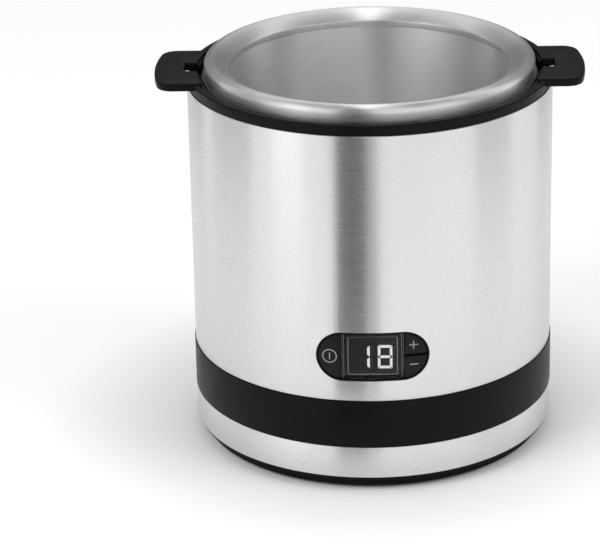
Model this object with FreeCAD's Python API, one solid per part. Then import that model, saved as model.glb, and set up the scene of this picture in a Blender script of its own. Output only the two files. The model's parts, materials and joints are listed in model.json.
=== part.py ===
"""Counter-top frozen-yogurt maker: a freezer bowl turned by a geared motor in a round steel body.

Millimetres, +Z up, front towards -Y. The origin is on the table, on the body's axis.
"""
import FreeCAD
import Part
import math
import os

from FreeCAD import Vector

# Clearances
slip = 0.1            # between fixed pieces that slide together
run = 0.05            # radial running clearance of a shaft in its bush
free = 0.3            # between moving pieces that must not rub
past = 1.0            # how far a cutting shape runs past a face, and spare depth of a blind hole

# Steel body
body_r = 79.0         # outside radius of the two sleeves
sleeve_wall = 0.8
upper_sleeve_h = 118.5
lower_sleeve_h = 14.2
band_h = 21.7
band_proud = 0.4      # how far the band stands out of the steel
spigot_wall = 2.4     # rings of the band and pan that fit inside the sleeves
spigot_reach = 6.4

# Base pan and feet
foot_proud = 1.2
foot_r = 8.0
foot_seat = 1.0       # depth of the recess that holds a foot
foot_inset = 13.5     # foot centre, in from the plinth's edge
plinth_h = 4.0
plinth_inset = 3.5
pan_floor = 2.4
pan_wall = 2.5
lip_h = 1.5
lip_inset = 0.6
corner_angles = (45, 135, 225, 315)    # screw columns round the body
foot_angles = (0, 90, 180, 270)
column_r = 4.0
column_inset = 10.5   # column axis, in from the outside of the steel
column_web = 4.0

# Screws
screw_r = 1.5
screw_head_r = 2.8
screw_head_h = 2.0
small_screw_r = 1.0
small_head_r = 1.9
small_head_h = 1.4
screw_bite = 9.0      # how far a screw goes into what it holds
driver_slot_w = 0.9
driver_slot_d = 0.8
head_sink = 1.0       # base screw heads above the pan's underside

# Deck
deck_t = 2.5
deck_front_gap = 2.0  # behind the control board

# Top collar and well
collar_face_h = 4.5
collar_inset = 0.4
collar_wall = 2.4
ledge_t = 5.2
ledge_reach = 6.6     # inwards from the steel's inside
ledge_drop = 1.9      # ledge top below the sleeve's top
well_wall = 1.6
well_floor = 2.5
well_gap = 1.7        # round the freezer bowl
well_lift = 3.0       # well floor above the gearbox
well_flange_t = 2.0
well_flange_inset = 2.0
well_boss_r = 14.0
well_screw_reach = 4.0

# Handle ring
ring_wall = 2.4
ear_rise = 0.7       # ear tops above the collar's top
ring_sink = 0.5       # ring top below the collar's top
ring_flange = 4.6
ring_flange_t = 2.0
ear_reach = 13.8      # ear tip, out from the steel
ear_w = 47.0
ear_t = 3.5
ear_bow = 3.0         # depth of the bow of the ear's outer edge
ear_corner_r = 7.0
ear_slot_w = 10.8
ear_slot_end = 1.0    # slot's outer end, out from the steel
slide_ring_w = 2.6
slide_ring_t = 2.4

# Freezer bowl
rim_gap = 2.1         # between the rolled rim and the handle ring
rim_skirt = 4.4       # straight side of the rim, below its roll
rim_roll_r = 3.3
rim_w = 10.7          # from the rim's edge to its inner lip
rim_fall = 4.4        # from the crest down to the inner lip
inner_lip_h = 2.7
inner_lip_out = 0.5   # how far the inner lip stands out of the bowl's wall
steel_t = 0.8
bowl_draft = 8.4      # wall leans in by this much towards the floor
bowl_floor_r = 6.0    # corner radius at the floor
jacket_wall = 1.6
jacket_gap = 3.5      # jacket bottom above the well floor
freeze_gap = 9.6      # under the bowl floor
seal_h = 4.0
socket_r = 16.0
socket_h = 8.6
socket_roof = 1.6

# Drive
hub_flats = 16.0      # six-sided hub, across its flats
hub_lead_h = 2.0      # tapered top that finds its way into the socket
hub_lead_in = 1.0
hub_foot_r = 12.0
hub_foot_h = 1.5
washer_t = 0.4
washer_r = 12.5
hub_gap = 0.5         # under the socket's roof
shaft_r = 4.0
pin_r = 1.0
bush_wall = 2.6
seal_r = 8.5
case_wall = 2.0
case_inner_h = 21.0
cover_t = 2.5
case_room = 1.5       # round the gear tips
case_boss_r = 4.0
stage_axle_r = 2.0
stage_angle = 90.0    # where the stage axle stands, seen from above
motor_angle = -30.0   # where the motor stands, seen from the stage axle
pressure_angle = 20.0
tooth_height = 0.8    # addendum, in modules
root_room = 0.3       # below the mating tip, in modules
backlash = 0.1
pinion_teeth = 15
wheel_teeth = 60
fast_module = 0.6
slow_module = 0.8
fast_low = 4.0        # fast gears' bottom face above the deck's case floor
fast_face = 5.0
slow_gap = 2.0
slow_face = 7.5
hub_collar_r = 8.0

# Motor
motor_r = 21.0
motor_h = 40.0
motor_wall = 1.4
motor_cap_h = 6.0
motor_shaft_r = 1.6
motor_pilot_r = 6.0
motor_pilot_h = 2.0
motor_screw_pitch = 17.0
armature_slots = 8
armature_slot_w = 3.0
magnet_t = 4.0
magnet_gap = 0.7
magnet_spread = 130.0

# Control panel
panel_up = 20.3       # panel centre above the upper sleeve's bottom
panel_w = 47.6
panel_h = 21.9
panel_gap = 0.15
panel_border = 0.6
panel_flange = 1.8
panel_flange_t = 2.0
window_w = 26.4
window_t = 1.6
window_sink = 0.15
window_rib = 1.2
key_gap = 0.25
key_split = 0.9       # between the plus and minus keys
key_sink = 0.1
key_end_t = 1.1       # key thickness at the panel's ends
key_travel = 0.8
panel_floor_t = 1.6
stem_r = 2.0
power_key_x = -18.2
step_key_x = 17.3
step_key_z = 5.2
module_w = 23.2
module_h = 18.0
module_sink = 0.5     # behind the window's inside
digit_pitch = 9.3
digit_w = 6.15
digit_h = 10.8
segment_w = 1.25
segment_t = 0.3
segment_gap = 0.18
board_t = 1.6
board_w = 52.0
board_h = 21.0
board_gap = 6.0       # board front behind the panel floor
switch_size = 6.0
switch_h = 3.5
plunger_r = 1.6
plunger_out = 1.0
plunger_in = 1.5
post_r = 2.2
post_x = 23.0
post_z = 6.8

# Power supply
supply_gap = 16.5     # board corner to the pan's wall
supply_w = 36.0
supply_d = 44.0
supply_post_h = 3.0
supply_post_r = 3.0
supply_post_inset = 4.0
transformer_size = (20.0, 24.0, 22.0)
coil_size = (16.0, 15.0)
transformer_shift = (-1.0, -8.0)     # from the board's centre
capacitor_r = 5.0
capacitor_pitch = 11.0
capacitor_shift = -2.5     # middle of the pair, from the board's centre
capacitor_h = 16.0
fuse_r = 2.6
fuse_len = 18.0
fuse_y = -6.0

# Mains inlet and wiring
gland_up = 10.1       # inlet centre above the band's bottom
gland_r = 6.0
gland_bore_r = 3.6
gland_flange_r = 8.5
gland_flange_t = 3.0
gland_sink = 0.4
lead_r = 0.9
lead_pitch = 4.0
ribbon_w = 8.0
ribbon_t = 1.0

# Heights that follow from the sizes above
z_pan = foot_proud
z_lip = z_pan + plinth_h
z_lower = z_lip + lip_h
z_band = z_lower + lower_sleeve_h
z_upper = z_band + band_h
z_collar = z_upper + upper_sleeve_h
z_collar_top = z_collar + collar_face_h
z_pan_floor = z_pan + pan_floor
z_deck = z_upper + spigot_reach
z_deck_top = z_deck + deck_t
z_case = z_deck_top + case_wall
z_cover = z_case + case_inner_h
z_case_top = z_cover + cover_t
z_well = z_case_top + well_lift
z_well_top = z_well + well_floor
z_panel = z_upper + panel_up
z_ledge = z_collar - ledge_drop
z_ledge_low = z_ledge - ledge_t
z_ear_top = z_collar_top + ear_rise
z_ring_top = z_collar_top - ring_sink
z_jacket = z_well_top + jacket_gap
z_bowl_floor = z_jacket + jacket_wall + freeze_gap
z_slide = z_ledge + ring_flange_t
z_skirt = z_slide + slide_ring_t + slip
z_roll = z_skirt + rim_skirt
z_crest = z_roll + rim_roll_r
z_lip_top = z_crest - rim_fall
z_lip_low = z_lip_top - inner_lip_h
z_fast = z_case + fast_low
z_slow = z_fast + fast_face + slow_gap

# Radii that follow from the sizes above
sleeve_in = body_r - sleeve_wall
spigot_r = sleeve_in - slip
spigot_in = spigot_r - spigot_wall
band_r = body_r + band_proud
plinth_r = body_r - plinth_inset
collar_r = body_r - collar_inset
collar_in = collar_r - collar_wall
ring_out = collar_in - 2 * slip
ring_in = ring_out - ring_wall
ring_flange_in = ring_in - ring_flange
rim_r = ring_in - rim_gap
jacket_r = ring_flange_in - free - 2 * slip
jacket_in = jacket_r - jacket_wall
well_in = jacket_r + well_gap
well_r = well_in + well_wall
crest_r = rim_r - rim_roll_r
lip_r = rim_r - rim_w
mouth_r = lip_r + inner_lip_out
bowl_low_r = mouth_r - bowl_draft
column_at = body_r - column_inset
window_r = body_r - window_sink
window_in = window_r - window_t
tall = 2 * z_crest

# Lean of the rim's inner slope, which runs from the inner lip to touch the roll
lip_to_roll = (crest_r - lip_r, z_roll - z_lip_top)
rim_lean = math.atan2(lip_to_roll[1], lip_to_roll[0]) + math.asin(rim_roll_r / math.hypot(*lip_to_roll))

# Panel depths that follow from the sizes above, from the front to the back
y_edge = -math.sqrt(body_r ** 2 - (panel_w / 2) ** 2)
y_key = y_edge + key_end_t
y_floor = y_key + 2 * key_travel
y_floor_back = y_floor + panel_floor_t
y_board = y_floor_back + board_gap
y_board_back = y_board + board_t
y_switch = y_board - switch_h
y_plunger = y_switch - plunger_out
y_module = module_sink - math.sqrt(window_in ** 2 - (module_w / 2) ** 2)
ribbon_y = y_board_back + 3 * deck_front_gap

# Place of the supply board, in the base on the left
supply_reach = plinth_r - pan_wall - supply_gap
supply_x = supply_w / 2 - math.sqrt(supply_reach ** 2 - (supply_d / 2) ** 2)
supply_right = supply_x + supply_w / 2
ribbon_x = supply_right - ribbon_w / 2

# Gear sizes and places
fast_pinion_r = fast_module * pinion_teeth / 2
fast_wheel_r = fast_module * wheel_teeth / 2
slow_pinion_r = slow_module * pinion_teeth / 2
slow_wheel_r = slow_module * wheel_teeth / 2


def polar(radius, angle, x=0.0, y=0.0):
    turn = math.radians(angle)
    return x + radius * math.cos(turn), y + radius * math.sin(turn)


stage_x, stage_y = polar(slow_pinion_r + slow_wheel_r, stage_angle)
motor_x, motor_y = polar(fast_pinion_r + fast_wheel_r, motor_angle, stage_x, stage_y)
slow_room_r = slow_wheel_r + slow_module * tooth_height + case_room
fast_room_r = fast_wheel_r + fast_module * tooth_height + case_room
pinion_room_r = fast_pinion_r + fast_module * tooth_height + case_room


def disc(radius, low, high, x=0.0, y=0.0):
    return Part.makeCylinder(radius, high - low, Vector(x, y, low))


def ring(outer, inner, low, high, x=0.0, y=0.0):
    return disc(outer, low, high, x, y).cut(disc(inner, low, high, x, y))


def rod_y(radius, front, back, x, z):
    return Part.makeCylinder(radius, back - front, Vector(x, front, z), Vector(0, 1, 0))


def block(x_low, x_high, y_low, y_high, z_low, z_high):
    size = (x_high - x_low, y_high - y_low, z_high - z_low)
    return Part.makeBox(*size, Vector(x_low, y_low, z_low))


def centred_block(width, depth, low, high, x=0.0, y=0.0):
    return block(x - width / 2, x + width / 2, y - depth / 2, y + depth / 2, low, high)


def fuse(first, *others):
    return first.multiFuse(list(others)).removeSplitter()


def cut(shape, *tools):
    return shape.cut(list(tools)) if tools else shape


def turned(points):
    """Solid of revolution about Z of a closed outline of (radius, height) points."""
    corners = [Vector(radius, 0, height) for radius, height in points]
    outline = Part.makePolygon(corners + corners[:1])
    return Part.Face(outline).revolve(Vector(0, 0, 0), Vector(0, 0, 1), 360)


def turned_edges(edges):
    outline = Part.Wire(edges)
    return Part.Face(outline).revolve(Vector(0, 0, 0), Vector(0, 0, 1), 360)


def line(start, end):
    return Part.LineSegment(Vector(start[0], 0, start[1]), Vector(end[0], 0, end[1])).toShape()


def arc(start, middle, end):
    points = [Vector(point[0], 0, point[1]) for point in (start, middle, end)]
    return Part.Arc(*points).toShape()


def stadium(width, height, front, back):
    """Prism along Y with a straight-sided, round-ended outline round the panel's centre."""
    end_r = height / 2
    side = width / 2 - end_r
    bar = block(-side, side, front, back, z_panel - end_r, z_panel + end_r)
    ends = [rod_y(end_r, front, back, x, z_panel) for x in (-side, side)]
    return fuse(bar, *ends)


def six_sided(flats, low, high):
    corner_r = flats / math.sqrt(3)
    corners = [Vector(*polar(corner_r, 60 * step), low) for step in range(7)]
    return Part.Face(Part.makePolygon(corners)).extrude(Vector(0, 0, high - low))


def capsule(first, second, low, high):
    """Prism round two circles (x, y, radius) and the straight sides that touch both."""
    span = math.hypot(second[0] - first[0], second[1] - first[1])
    heading = math.degrees(math.atan2(second[1] - first[1], second[0] - first[0]))
    lean = math.degrees(math.acos((first[2] - second[2]) / span))
    touch = [
        polar(first[2], heading + lean, first[0], first[1]),
        polar(first[2], heading - lean, first[0], first[1]),
        polar(second[2], heading - lean, second[0], second[1]),
        polar(second[2], heading + lean, second[0], second[1]),
    ]
    corners = [Vector(x, y, low) for x, y in touch]
    middle = Part.Face(Part.makePolygon(corners + corners[:1])).extrude(Vector(0, 0, high - low))
    return fuse(middle, disc(first[2], low, high, *first[:2]), disc(second[2], low, high, *second[:2]))


def involute(base_r, radius, turn):
    """Point of the involute of a base circle at a radius, turned about the gear's axis."""
    roll = math.sqrt(max((radius / base_r) ** 2 - 1, 0))
    angle = roll - math.atan(roll) + turn
    return radius * math.cos(angle), radius * math.sin(angle)


def gear(teeth, module, first_tooth, low, high, x, y):
    """Spur gear blank with stub involute teeth, one tooth pointing at first_tooth degrees."""
    pitch_r = module * teeth / 2
    base_r = pitch_r * math.cos(math.radians(pressure_angle))
    tip_r = pitch_r + module * tooth_height
    root_r = pitch_r - module * (tooth_height + root_room)
    flank_low = max(base_r, root_r)
    roll = math.tan(math.radians(pressure_angle))
    half_tooth = math.pi / (2 * teeth) - backlash / (4 * pitch_r)
    base_turn = half_tooth + roll - math.radians(pressure_angle)
    radii = (flank_low, (flank_low + tip_r) / 2, tip_r)
    flank = [involute(base_r, radius, -base_turn) for radius in radii]
    root_angle = math.atan2(flank[0][1], flank[0][0])
    root_point = (root_r * math.cos(root_angle), root_r * math.sin(root_angle))

    def placed(point, centre, side):
        radius = math.hypot(*point)
        angle = centre + side * math.atan2(point[1], point[0])
        return Vector(x + radius * math.cos(angle), y + radius * math.sin(angle), low)

    edges = []
    for tooth in range(teeth):
        centre = math.radians(first_tooth) + 2 * math.pi * tooth / teeth
        following = centre + 2 * math.pi / teeth
        rise = [placed(point, centre, 1) for point in flank]
        fall = [placed(point, centre, -1) for point in reversed(flank)]
        foot = placed(root_point, centre, 1)
        heel = placed(root_point, centre, -1)
        next_foot = placed(root_point, following, 1)
        if root_r < flank_low:
            edges.append(Part.LineSegment(foot, rise[0]).toShape())
        edges.append(Part.Arc(*rise).toShape())
        tip = placed((tip_r, 0.0), centre, 1)
        edges.append(Part.Arc(rise[2], tip, fall[0]).toShape())
        edges.append(Part.Arc(*fall).toShape())
        if root_r < flank_low:
            edges.append(Part.LineSegment(fall[2], heel).toShape())
        valley = placed((root_r, 0.0), (centre + following) / 2, 1)
        edges.append(Part.Arc(heel, valley, next_foot).toShape())
    return Part.Face(Part.Wire(edges)).extrude(Vector(0, 0, high - low))


def screw(radius, head_r, head_h, seat, tip, x, y):
    """Pan-head screw along Z: the head's flat sits at seat and the shank ends at tip."""
    up = 1 if seat > tip else -1
    top = seat + up * head_h
    head = disc(head_r, *sorted((seat, top)), x, y)
    slot = centred_block(3 * head_r, driver_slot_w, *sorted((top, top - up * driver_slot_d)), x, y)
    return fuse(cut(head, slot), disc(radius, *sorted((seat, tip)), x, y))


def save(name, *solids):
    shape = solids[0] if len(solids) == 1 else Part.makeCompound(list(solids))
    shape.exportStep(os.path.join("parts", name + ".step"))


def columns():
    return [polar(column_at, angle) for angle in corner_angles]


def make_steel():
    opening = stadium(panel_w + 2 * panel_gap, panel_h + 2 * panel_gap, -body_r - past, -body_r / 2)
    save("upper_sleeve", cut(ring(body_r, sleeve_in, z_upper, z_collar), opening))
    save("lower_sleeve", ring(body_r, sleeve_in, z_lower, z_band))


def make_band():
    skin = turned([
        (spigot_in, z_band - spigot_reach), (spigot_r, z_band - spigot_reach), (spigot_r, z_band),
        (band_r, z_band), (band_r, z_upper), (spigot_r, z_upper), (spigot_r, z_deck), (spigot_in, z_deck),
    ])
    posts = []
    holes = []
    for angle in corner_angles:
        x, y = polar(column_at, angle)
        web = block(column_at, spigot_in + spigot_wall / 2, -column_web / 2, column_web / 2, z_band, z_deck)
        web.rotate(Vector(0, 0, 0), Vector(0, 0, 1), angle)
        posts += [web, disc(column_r, z_lower, z_deck, x, y)]
        holes.append(disc(screw_r + slip, z_lower, z_lower + screw_bite + past, x, y))
        holes.append(disc(screw_r + slip, z_deck - screw_bite - past, z_deck, x, y))
    z_gland = z_band + gland_up
    holes.append(rod_y(gland_r + slip, spigot_in - 2 * spigot_wall, band_r + past, 0, z_gland))
    save("middle_band", cut(fuse(skin, *posts), *holes))


def make_base():
    tray = turned([
        (0, z_pan), (plinth_r, z_pan), (plinth_r, z_lip), (body_r - lip_inset, z_lip),
        (body_r - lip_inset, z_lower), (spigot_r, z_lower), (spigot_r, z_lower + spigot_reach),
        (spigot_in, z_lower + spigot_reach), (spigot_in, z_lower), (plinth_r - pan_wall, z_lower),
        (plinth_r - pan_wall, z_pan_floor), (0, z_pan_floor),
    ])
    seat = z_pan + screw_head_h + head_sink
    studs = [disc(column_r, z_pan, z_lower, x, y) for x, y in columns()]
    holes = []
    screws = []
    for x, y in columns():
        holes.append(disc(screw_head_r + slip, z_pan, seat, x, y))
        holes.append(disc(screw_r + slip, z_pan, z_lower, x, y))
        screws.append(screw(screw_r, screw_head_r, screw_head_h, seat, z_lower + screw_bite, x, y))
    feet = []
    for angle in foot_angles:
        x, y = polar(plinth_r - foot_inset, angle)
        holes.append(disc(foot_r + slip, z_pan, z_pan + foot_seat, x, y))
        feet.append(disc(foot_r, 0, z_pan + foot_seat, x, y))
    z_supply = z_pan_floor + supply_post_h
    posts = []
    for x, y in supply_corners():
        posts.append(disc(supply_post_r, z_pan_floor, z_supply, x, y))
        holes.append(disc(small_screw_r + slip, z_pan_floor, z_supply, x, y))
    save("base_pan", cut(fuse(tray, *studs, *posts), *holes))
    save("base_screws", *screws)
    save("rubber_feet", *feet)


def supply_corners():
    reach_x = supply_w / 2 - supply_post_inset
    reach_y = supply_d / 2 - supply_post_inset
    return [(supply_x + sx * reach_x, sy * reach_y) for sx in (-1, 1) for sy in (-1, 1)]


def motor_screw_places():
    return [(motor_x, motor_y + side * motor_screw_pitch / 2) for side in (-1, 1)]


def case_bosses():
    slow = [polar(slow_room_r + case_boss_r, stage_angle + turn) for turn in (110, 250)]
    fast = [polar(fast_room_r + case_boss_r, stage_angle + turn, stage_x, stage_y) for turn in (-35, 35)]
    return slow + fast


def make_deck():
    plate = disc(spigot_r, z_deck, z_deck_top)
    half_w = board_w / 2 + 2 * deck_front_gap
    openings = [block(-half_w, half_w, -body_r, y_board_back + deck_front_gap, z_deck, z_deck_top)]
    openings.append(disc(motor_pilot_r + slip, z_deck, z_deck_top, motor_x, motor_y))
    openings.append(ribbon_slot(z_deck, z_deck_top))
    for x, y in motor_screw_places():
        openings.append(disc(small_screw_r + slip, z_deck, z_deck_top, x, y))
    for x, y in case_bosses() + columns():
        openings.append(disc(screw_r + slip, z_deck, z_deck_top, x, y))
    save("chassis_plate", cut(plate, *openings))
    head = (screw_r, screw_head_r, screw_head_h)
    save("chassis_screws", *[screw(*head, z_deck_top, z_deck - screw_bite, x, y) for x, y in columns()])


def gear_rooms(extra, low, high):
    """The space round the three gear axes, grown by extra."""
    slow = (0.0, 0.0, slow_room_r + extra)
    fast = (stage_x, stage_y, fast_room_r + extra)
    pinion = (motor_x, motor_y, pinion_room_r + extra)
    pairs = ((slow, fast), (fast, pinion), (slow, pinion))
    return fuse(*[capsule(first, second, low, high) for first, second in pairs])


def make_gearbox():
    bush_in = shaft_r + run
    bush_r = bush_in + bush_wall
    bush_rise = case_wall / 2
    axle_seat = case_wall + bush_rise / 2
    bosses = [disc(case_boss_r, z_deck_top, z_cover, x, y) for x, y in case_bosses()]
    walls = fuse(gear_rooms(case_wall, z_deck_top, z_cover), *bosses)
    hollow = gear_rooms(0.0, z_case, z_cover)
    seats = [
        disc(bush_r + case_wall, z_deck_top, z_case + bush_rise),
        disc(2 * stage_axle_r, z_deck_top, z_case + axle_seat, stage_x, stage_y),
    ]
    shell = fuse(cut(walls, hollow), *seats)
    pinion_tip = fast_pinion_r + fast_module * tooth_height
    holes = [
        disc(bush_r, z_deck_top, z_case + bush_rise),
        disc(stage_axle_r, z_deck_top, z_case + axle_seat, stage_x, stage_y),
        disc(pinion_tip + free, z_deck_top, z_case, motor_x, motor_y),
    ]
    for x, y in motor_screw_places():
        holes.append(disc(small_screw_r + slip, z_deck_top, z_case, x, y))
    screw_holes = [disc(screw_r + slip, z_deck_top, z_case_top, x, y) for x, y in case_bosses()]
    save("gearbox_case", cut(shell, *holes, *screw_holes))

    lids = [disc(case_boss_r, z_cover, z_case_top, x, y) for x, y in case_bosses()]
    lid = fuse(gear_rooms(case_wall, z_cover, z_case_top), *lids)
    axle_top = z_cover + cover_t / 2
    lid_holes = [
        disc(bush_r, z_cover, z_case_top),
        disc(stage_axle_r, z_cover, axle_top, stage_x, stage_y),
    ]
    save("gearbox_cover", cut(lid, *lid_holes, *screw_holes))
    head = (screw_r, screw_head_r, screw_head_h)
    save("gearbox_screws", *[screw(*head, z_case_top, z_deck, x, y) for x, y in case_bosses()])
    lower_bush = ring(bush_r, bush_in, z_deck_top, z_case + bush_rise)
    upper_bush = ring(bush_r, bush_in, z_cover, z_case_top)
    save("output_bushes", lower_bush, upper_bush)
    save("stage_axle", disc(stage_axle_r, z_deck_top, axle_top, stage_x, stage_y))

    mesh_turn = 180 + 180 / pinion_teeth
    hub_low = z_case + bush_rise + slip
    hub_high = z_cover - slip
    blank = gear(wheel_teeth, slow_module, stage_angle, z_slow, z_slow + slow_face, 0.0, 0.0)
    output_gear = fuse(blank, disc(hub_collar_r, hub_low, hub_high))
    save("output_gear", cut(output_gear, disc(shaft_r, hub_low, hub_high)))

    stage_low = z_case + axle_seat + slip
    fast_top = z_fast + fast_face
    slow_top = z_slow + slow_face
    wheel = gear(wheel_teeth, fast_module, motor_angle, z_fast, fast_top, stage_x, stage_y)
    small = gear(pinion_teeth, slow_module, stage_angle + mesh_turn, fast_top, slow_top, stage_x, stage_y)
    core = disc(2 * stage_axle_r, stage_low, z_cover - slip, stage_x, stage_y)
    bore = disc(stage_axle_r + run, stage_low, z_cover - slip, stage_x, stage_y)
    save("stage_gear", cut(fuse(wheel, small, core), bore))

    pinion = gear(pinion_teeth, fast_module, motor_angle + mesh_turn, z_fast, fast_top, motor_x, motor_y)
    save("motor_pinion", cut(pinion, disc(motor_shaft_r, z_fast, fast_top, motor_x, motor_y)))


def make_motor():
    z_low = z_deck - motor_h
    z_bell = z_low + motor_cap_h
    can_in = motor_r - motor_wall
    bush_in = motor_shaft_r + run
    bush_r = bush_in + motor_wall
    z_plate = z_deck - motor_wall
    z_pilot = z_deck + motor_pilot_h
    here = (motor_x, motor_y)
    can = fuse(
        ring(motor_r, can_in, z_bell, z_deck, *here),
        disc(can_in, z_plate, z_deck, *here),
        disc(motor_pilot_r, z_plate, z_pilot, *here),
    )
    holes = [disc(bush_r, z_plate, z_pilot, *here)]
    for x, y in motor_screw_places():
        holes.append(disc(small_screw_r + slip, z_plate, z_deck, x, y))
    save("motor_can", cut(can, *holes))
    bell = cut(disc(motor_r, z_low, z_bell, *here), disc(can_in, z_low + motor_wall, z_bell, *here))
    bell_boss = disc(bush_r + motor_wall, z_low, z_bell - motor_wall, *here)
    bell_hole = disc(bush_r, z_low, z_bell, *here)
    save("motor_end_bell", cut(fuse(bell, bell_boss), bell_hole))
    lower_bush = ring(bush_r, bush_in, z_low, z_bell - motor_wall, *here)
    save("motor_bushes", lower_bush, ring(bush_r, bush_in, z_plate, z_pilot, *here))

    magnet_low = z_bell + motor_wall
    magnet_high = z_plate - motor_wall
    magnets = []
    for turn in (0, 180):
        wedge = Part.makeCylinder(
            can_in, magnet_high - magnet_low, Vector(*here, magnet_low), Vector(0, 0, 1), magnet_spread)
        wedge.rotate(Vector(*here, 0), Vector(0, 0, 1), turn - magnet_spread / 2)
        magnets.append(cut(wedge, disc(can_in - magnet_t, magnet_low, magnet_high, *here)))
    save("motor_magnets", *magnets)

    armature_r = can_in - magnet_t - magnet_gap
    core_low = magnet_low + motor_cap_h
    core = disc(armature_r, core_low, magnet_high, *here)
    slots = []
    for step in range(armature_slots):
        slot = block(armature_r / 2, 2 * armature_r, -armature_slot_w / 2, armature_slot_w / 2, 0, tall)
        slot.rotate(Vector(0, 0, 0), Vector(0, 0, 1), 360 * step / armature_slots)
        slot.translate(Vector(*here, 0))
        slots.append(slot)
    commutator = disc(2 * bush_r, z_bell, core_low, *here)
    rotor = fuse(cut(core, *slots), commutator)
    save("motor_armature", cut(rotor, disc(motor_shaft_r, z_low, z_deck, *here)))
    save("motor_shaft", disc(motor_shaft_r, z_low + slip, z_fast + fast_face, *here))
    head = (small_screw_r, small_head_r, small_head_h)
    save("motor_screws", *[screw(*head, z_case, z_plate, x, y) for x, y in motor_screw_places()])


def make_drive():
    z_washer = z_well_top + washer_t
    z_roof = z_jacket + socket_h - socket_roof
    z_hub_top = z_roof - hub_gap
    z_shaft_top = z_hub_top - socket_roof
    z_pin = z_washer + hub_foot_h + 2 * pin_r
    save("thrust_washer", ring(washer_r, shaft_r + slip, z_well_top, z_washer))
    prism = six_sided(hub_flats, z_washer, z_hub_top)
    corner_r = hub_flats / math.sqrt(3)
    lead_in = turned([
        (0, z_washer), (corner_r + past, z_washer), (corner_r + past, z_hub_top - hub_lead_h),
        (hub_flats / 2 - hub_lead_in, z_hub_top), (0, z_hub_top),
    ])
    hub = fuse(prism.common(lead_in), disc(hub_foot_r, z_washer, z_washer + hub_foot_h))
    pin_end = hub_flats / 2 - hub_lead_in
    pin = Part.makeCylinder(pin_r, 2 * pin_end, Vector(-pin_end, 0, z_pin), Vector(1, 0, 0))
    shaft = disc(shaft_r, z_deck_top + slip, z_shaft_top)
    save("drive_hub", cut(hub, disc(shaft_r, z_washer, z_shaft_top), pin))
    save("drive_pin", pin)
    save("output_shaft", cut(shaft, pin))
    save("shaft_seal", ring(seal_r, shaft_r + run, z_case_top, z_well_top))


def make_well():
    flange_r = spigot_r - well_flange_inset
    z_flange = z_ledge_low - well_flange_t
    screw_at = (well_r + flange_r) / 2
    places = [polar(screw_at, angle) for angle in corner_angles]
    tip = z_ledge_low + well_screw_reach
    holes = [disc(small_screw_r + slip, z_flange, tip + slip, x, y) for x, y in places]
    well = turned([
        (seal_r, z_case_top), (well_boss_r, z_case_top), (well_boss_r, z_well), (well_r, z_well),
        (well_r, z_flange), (flange_r, z_flange), (flange_r, z_ledge_low), (well_in, z_ledge_low),
        (well_in, z_well_top), (seal_r, z_well_top),
    ])
    save("inner_well", cut(well, *holes))
    head = (small_screw_r, small_head_r, small_head_h)
    save("well_screws", *[screw(*head, z_flange, tip, x, y) for x, y in places])

    collar = turned([
        (sleeve_in - ledge_reach, z_ledge_low), (spigot_r, z_ledge_low), (spigot_r, z_collar),
        (collar_r, z_collar), (collar_r, z_collar_top), (collar_in, z_collar_top), (collar_in, z_ledge),
        (sleeve_in - ledge_reach, z_ledge),
    ])
    notch_w = ear_w + 2 * free
    notch_low = z_ear_top - ear_t - free
    reach = body_r + ear_reach
    notches = centred_block(2 * reach, notch_w, notch_low, tall)
    save("top_collar", cut(collar, notches, *holes))


def make_ear():
    """Plate from the axis to the right-hand ear's tip, with a bowed end and rounded corners."""
    tip = body_r + ear_reach
    ear_low = z_ear_top - ear_t
    bow_r = ((ear_w / 2) ** 2 + ear_bow ** 2) / (2 * ear_bow)
    plate = block(0, tip, -ear_w / 2, ear_w / 2, ear_low, z_ear_top)
    ear = plate.common(disc(bow_r, ear_low, z_ear_top, tip - bow_r))
    corners = [edge for edge in ear.Edges if edge.BoundBox.ZLength > ear_t / 2 and edge.BoundBox.XMin > tip / 2
               and edge.BoundBox.YLength < slip]
    return ear.makeFillet(ear_corner_r, corners)


def make_handle_ring():
    wall = turned([
        (ring_flange_in, z_ledge), (ring_out, z_ledge), (ring_out, z_ring_top), (ring_in, z_ring_top),
        (ring_in, z_slide), (ring_flange_in, z_slide),
    ])
    right_ear = make_ear()
    left_ear = right_ear.copy()
    left_ear.rotate(Vector(0, 0, 0), Vector(0, 0, 1), 180)
    ears = cut(fuse(right_ear, left_ear), disc((ring_in + ring_out) / 2, 0, tall))
    slot = centred_block(2 * (body_r + ear_slot_end), ear_slot_w, z_slide, tall)
    save("handle_ring", cut(fuse(wall, ears), slot))
    slide_r = rim_r + slide_ring_w / 4
    save("slide_ring", ring(slide_r, slide_r - slide_ring_w, z_slide, z_slide + slide_ring_t))


def bowl_outline(offset):
    """Edges of the bowl's steel from the floor's centre to the rim's skirt, offset behind its face."""
    floor = z_bowl_floor - offset
    corner = bowl_floor_r + offset
    low_r = bowl_low_r + offset
    turn = corner * (1 - math.sqrt(0.5))
    knee = (low_r - corner, floor)
    knee_middle = (low_r - turn, floor + turn)
    wall_low = (low_r, floor + corner)
    wall_top = (mouth_r + offset, z_lip_low + offset)
    lip_low = (lip_r + offset, z_lip_low + offset)
    lip_top = (lip_r + offset, z_lip_top - offset * (1 - math.sin(rim_lean)) / math.cos(rim_lean))
    roll = rim_roll_r - offset
    roll_start = (crest_r - roll * math.sin(rim_lean), z_roll + roll * math.cos(rim_lean))
    crest = (crest_r, z_roll + roll)
    roll_end = (rim_r - offset, z_roll)
    skirt = (rim_r - offset, z_skirt)
    return [
        line((0, floor), knee), arc(knee, knee_middle, wall_low), line(wall_low, wall_top),
        line(wall_top, lip_low), line(lip_low, lip_top), line(lip_top, roll_start),
        arc(roll_start, crest, roll_end), line(roll_end, skirt),
    ]


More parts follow.
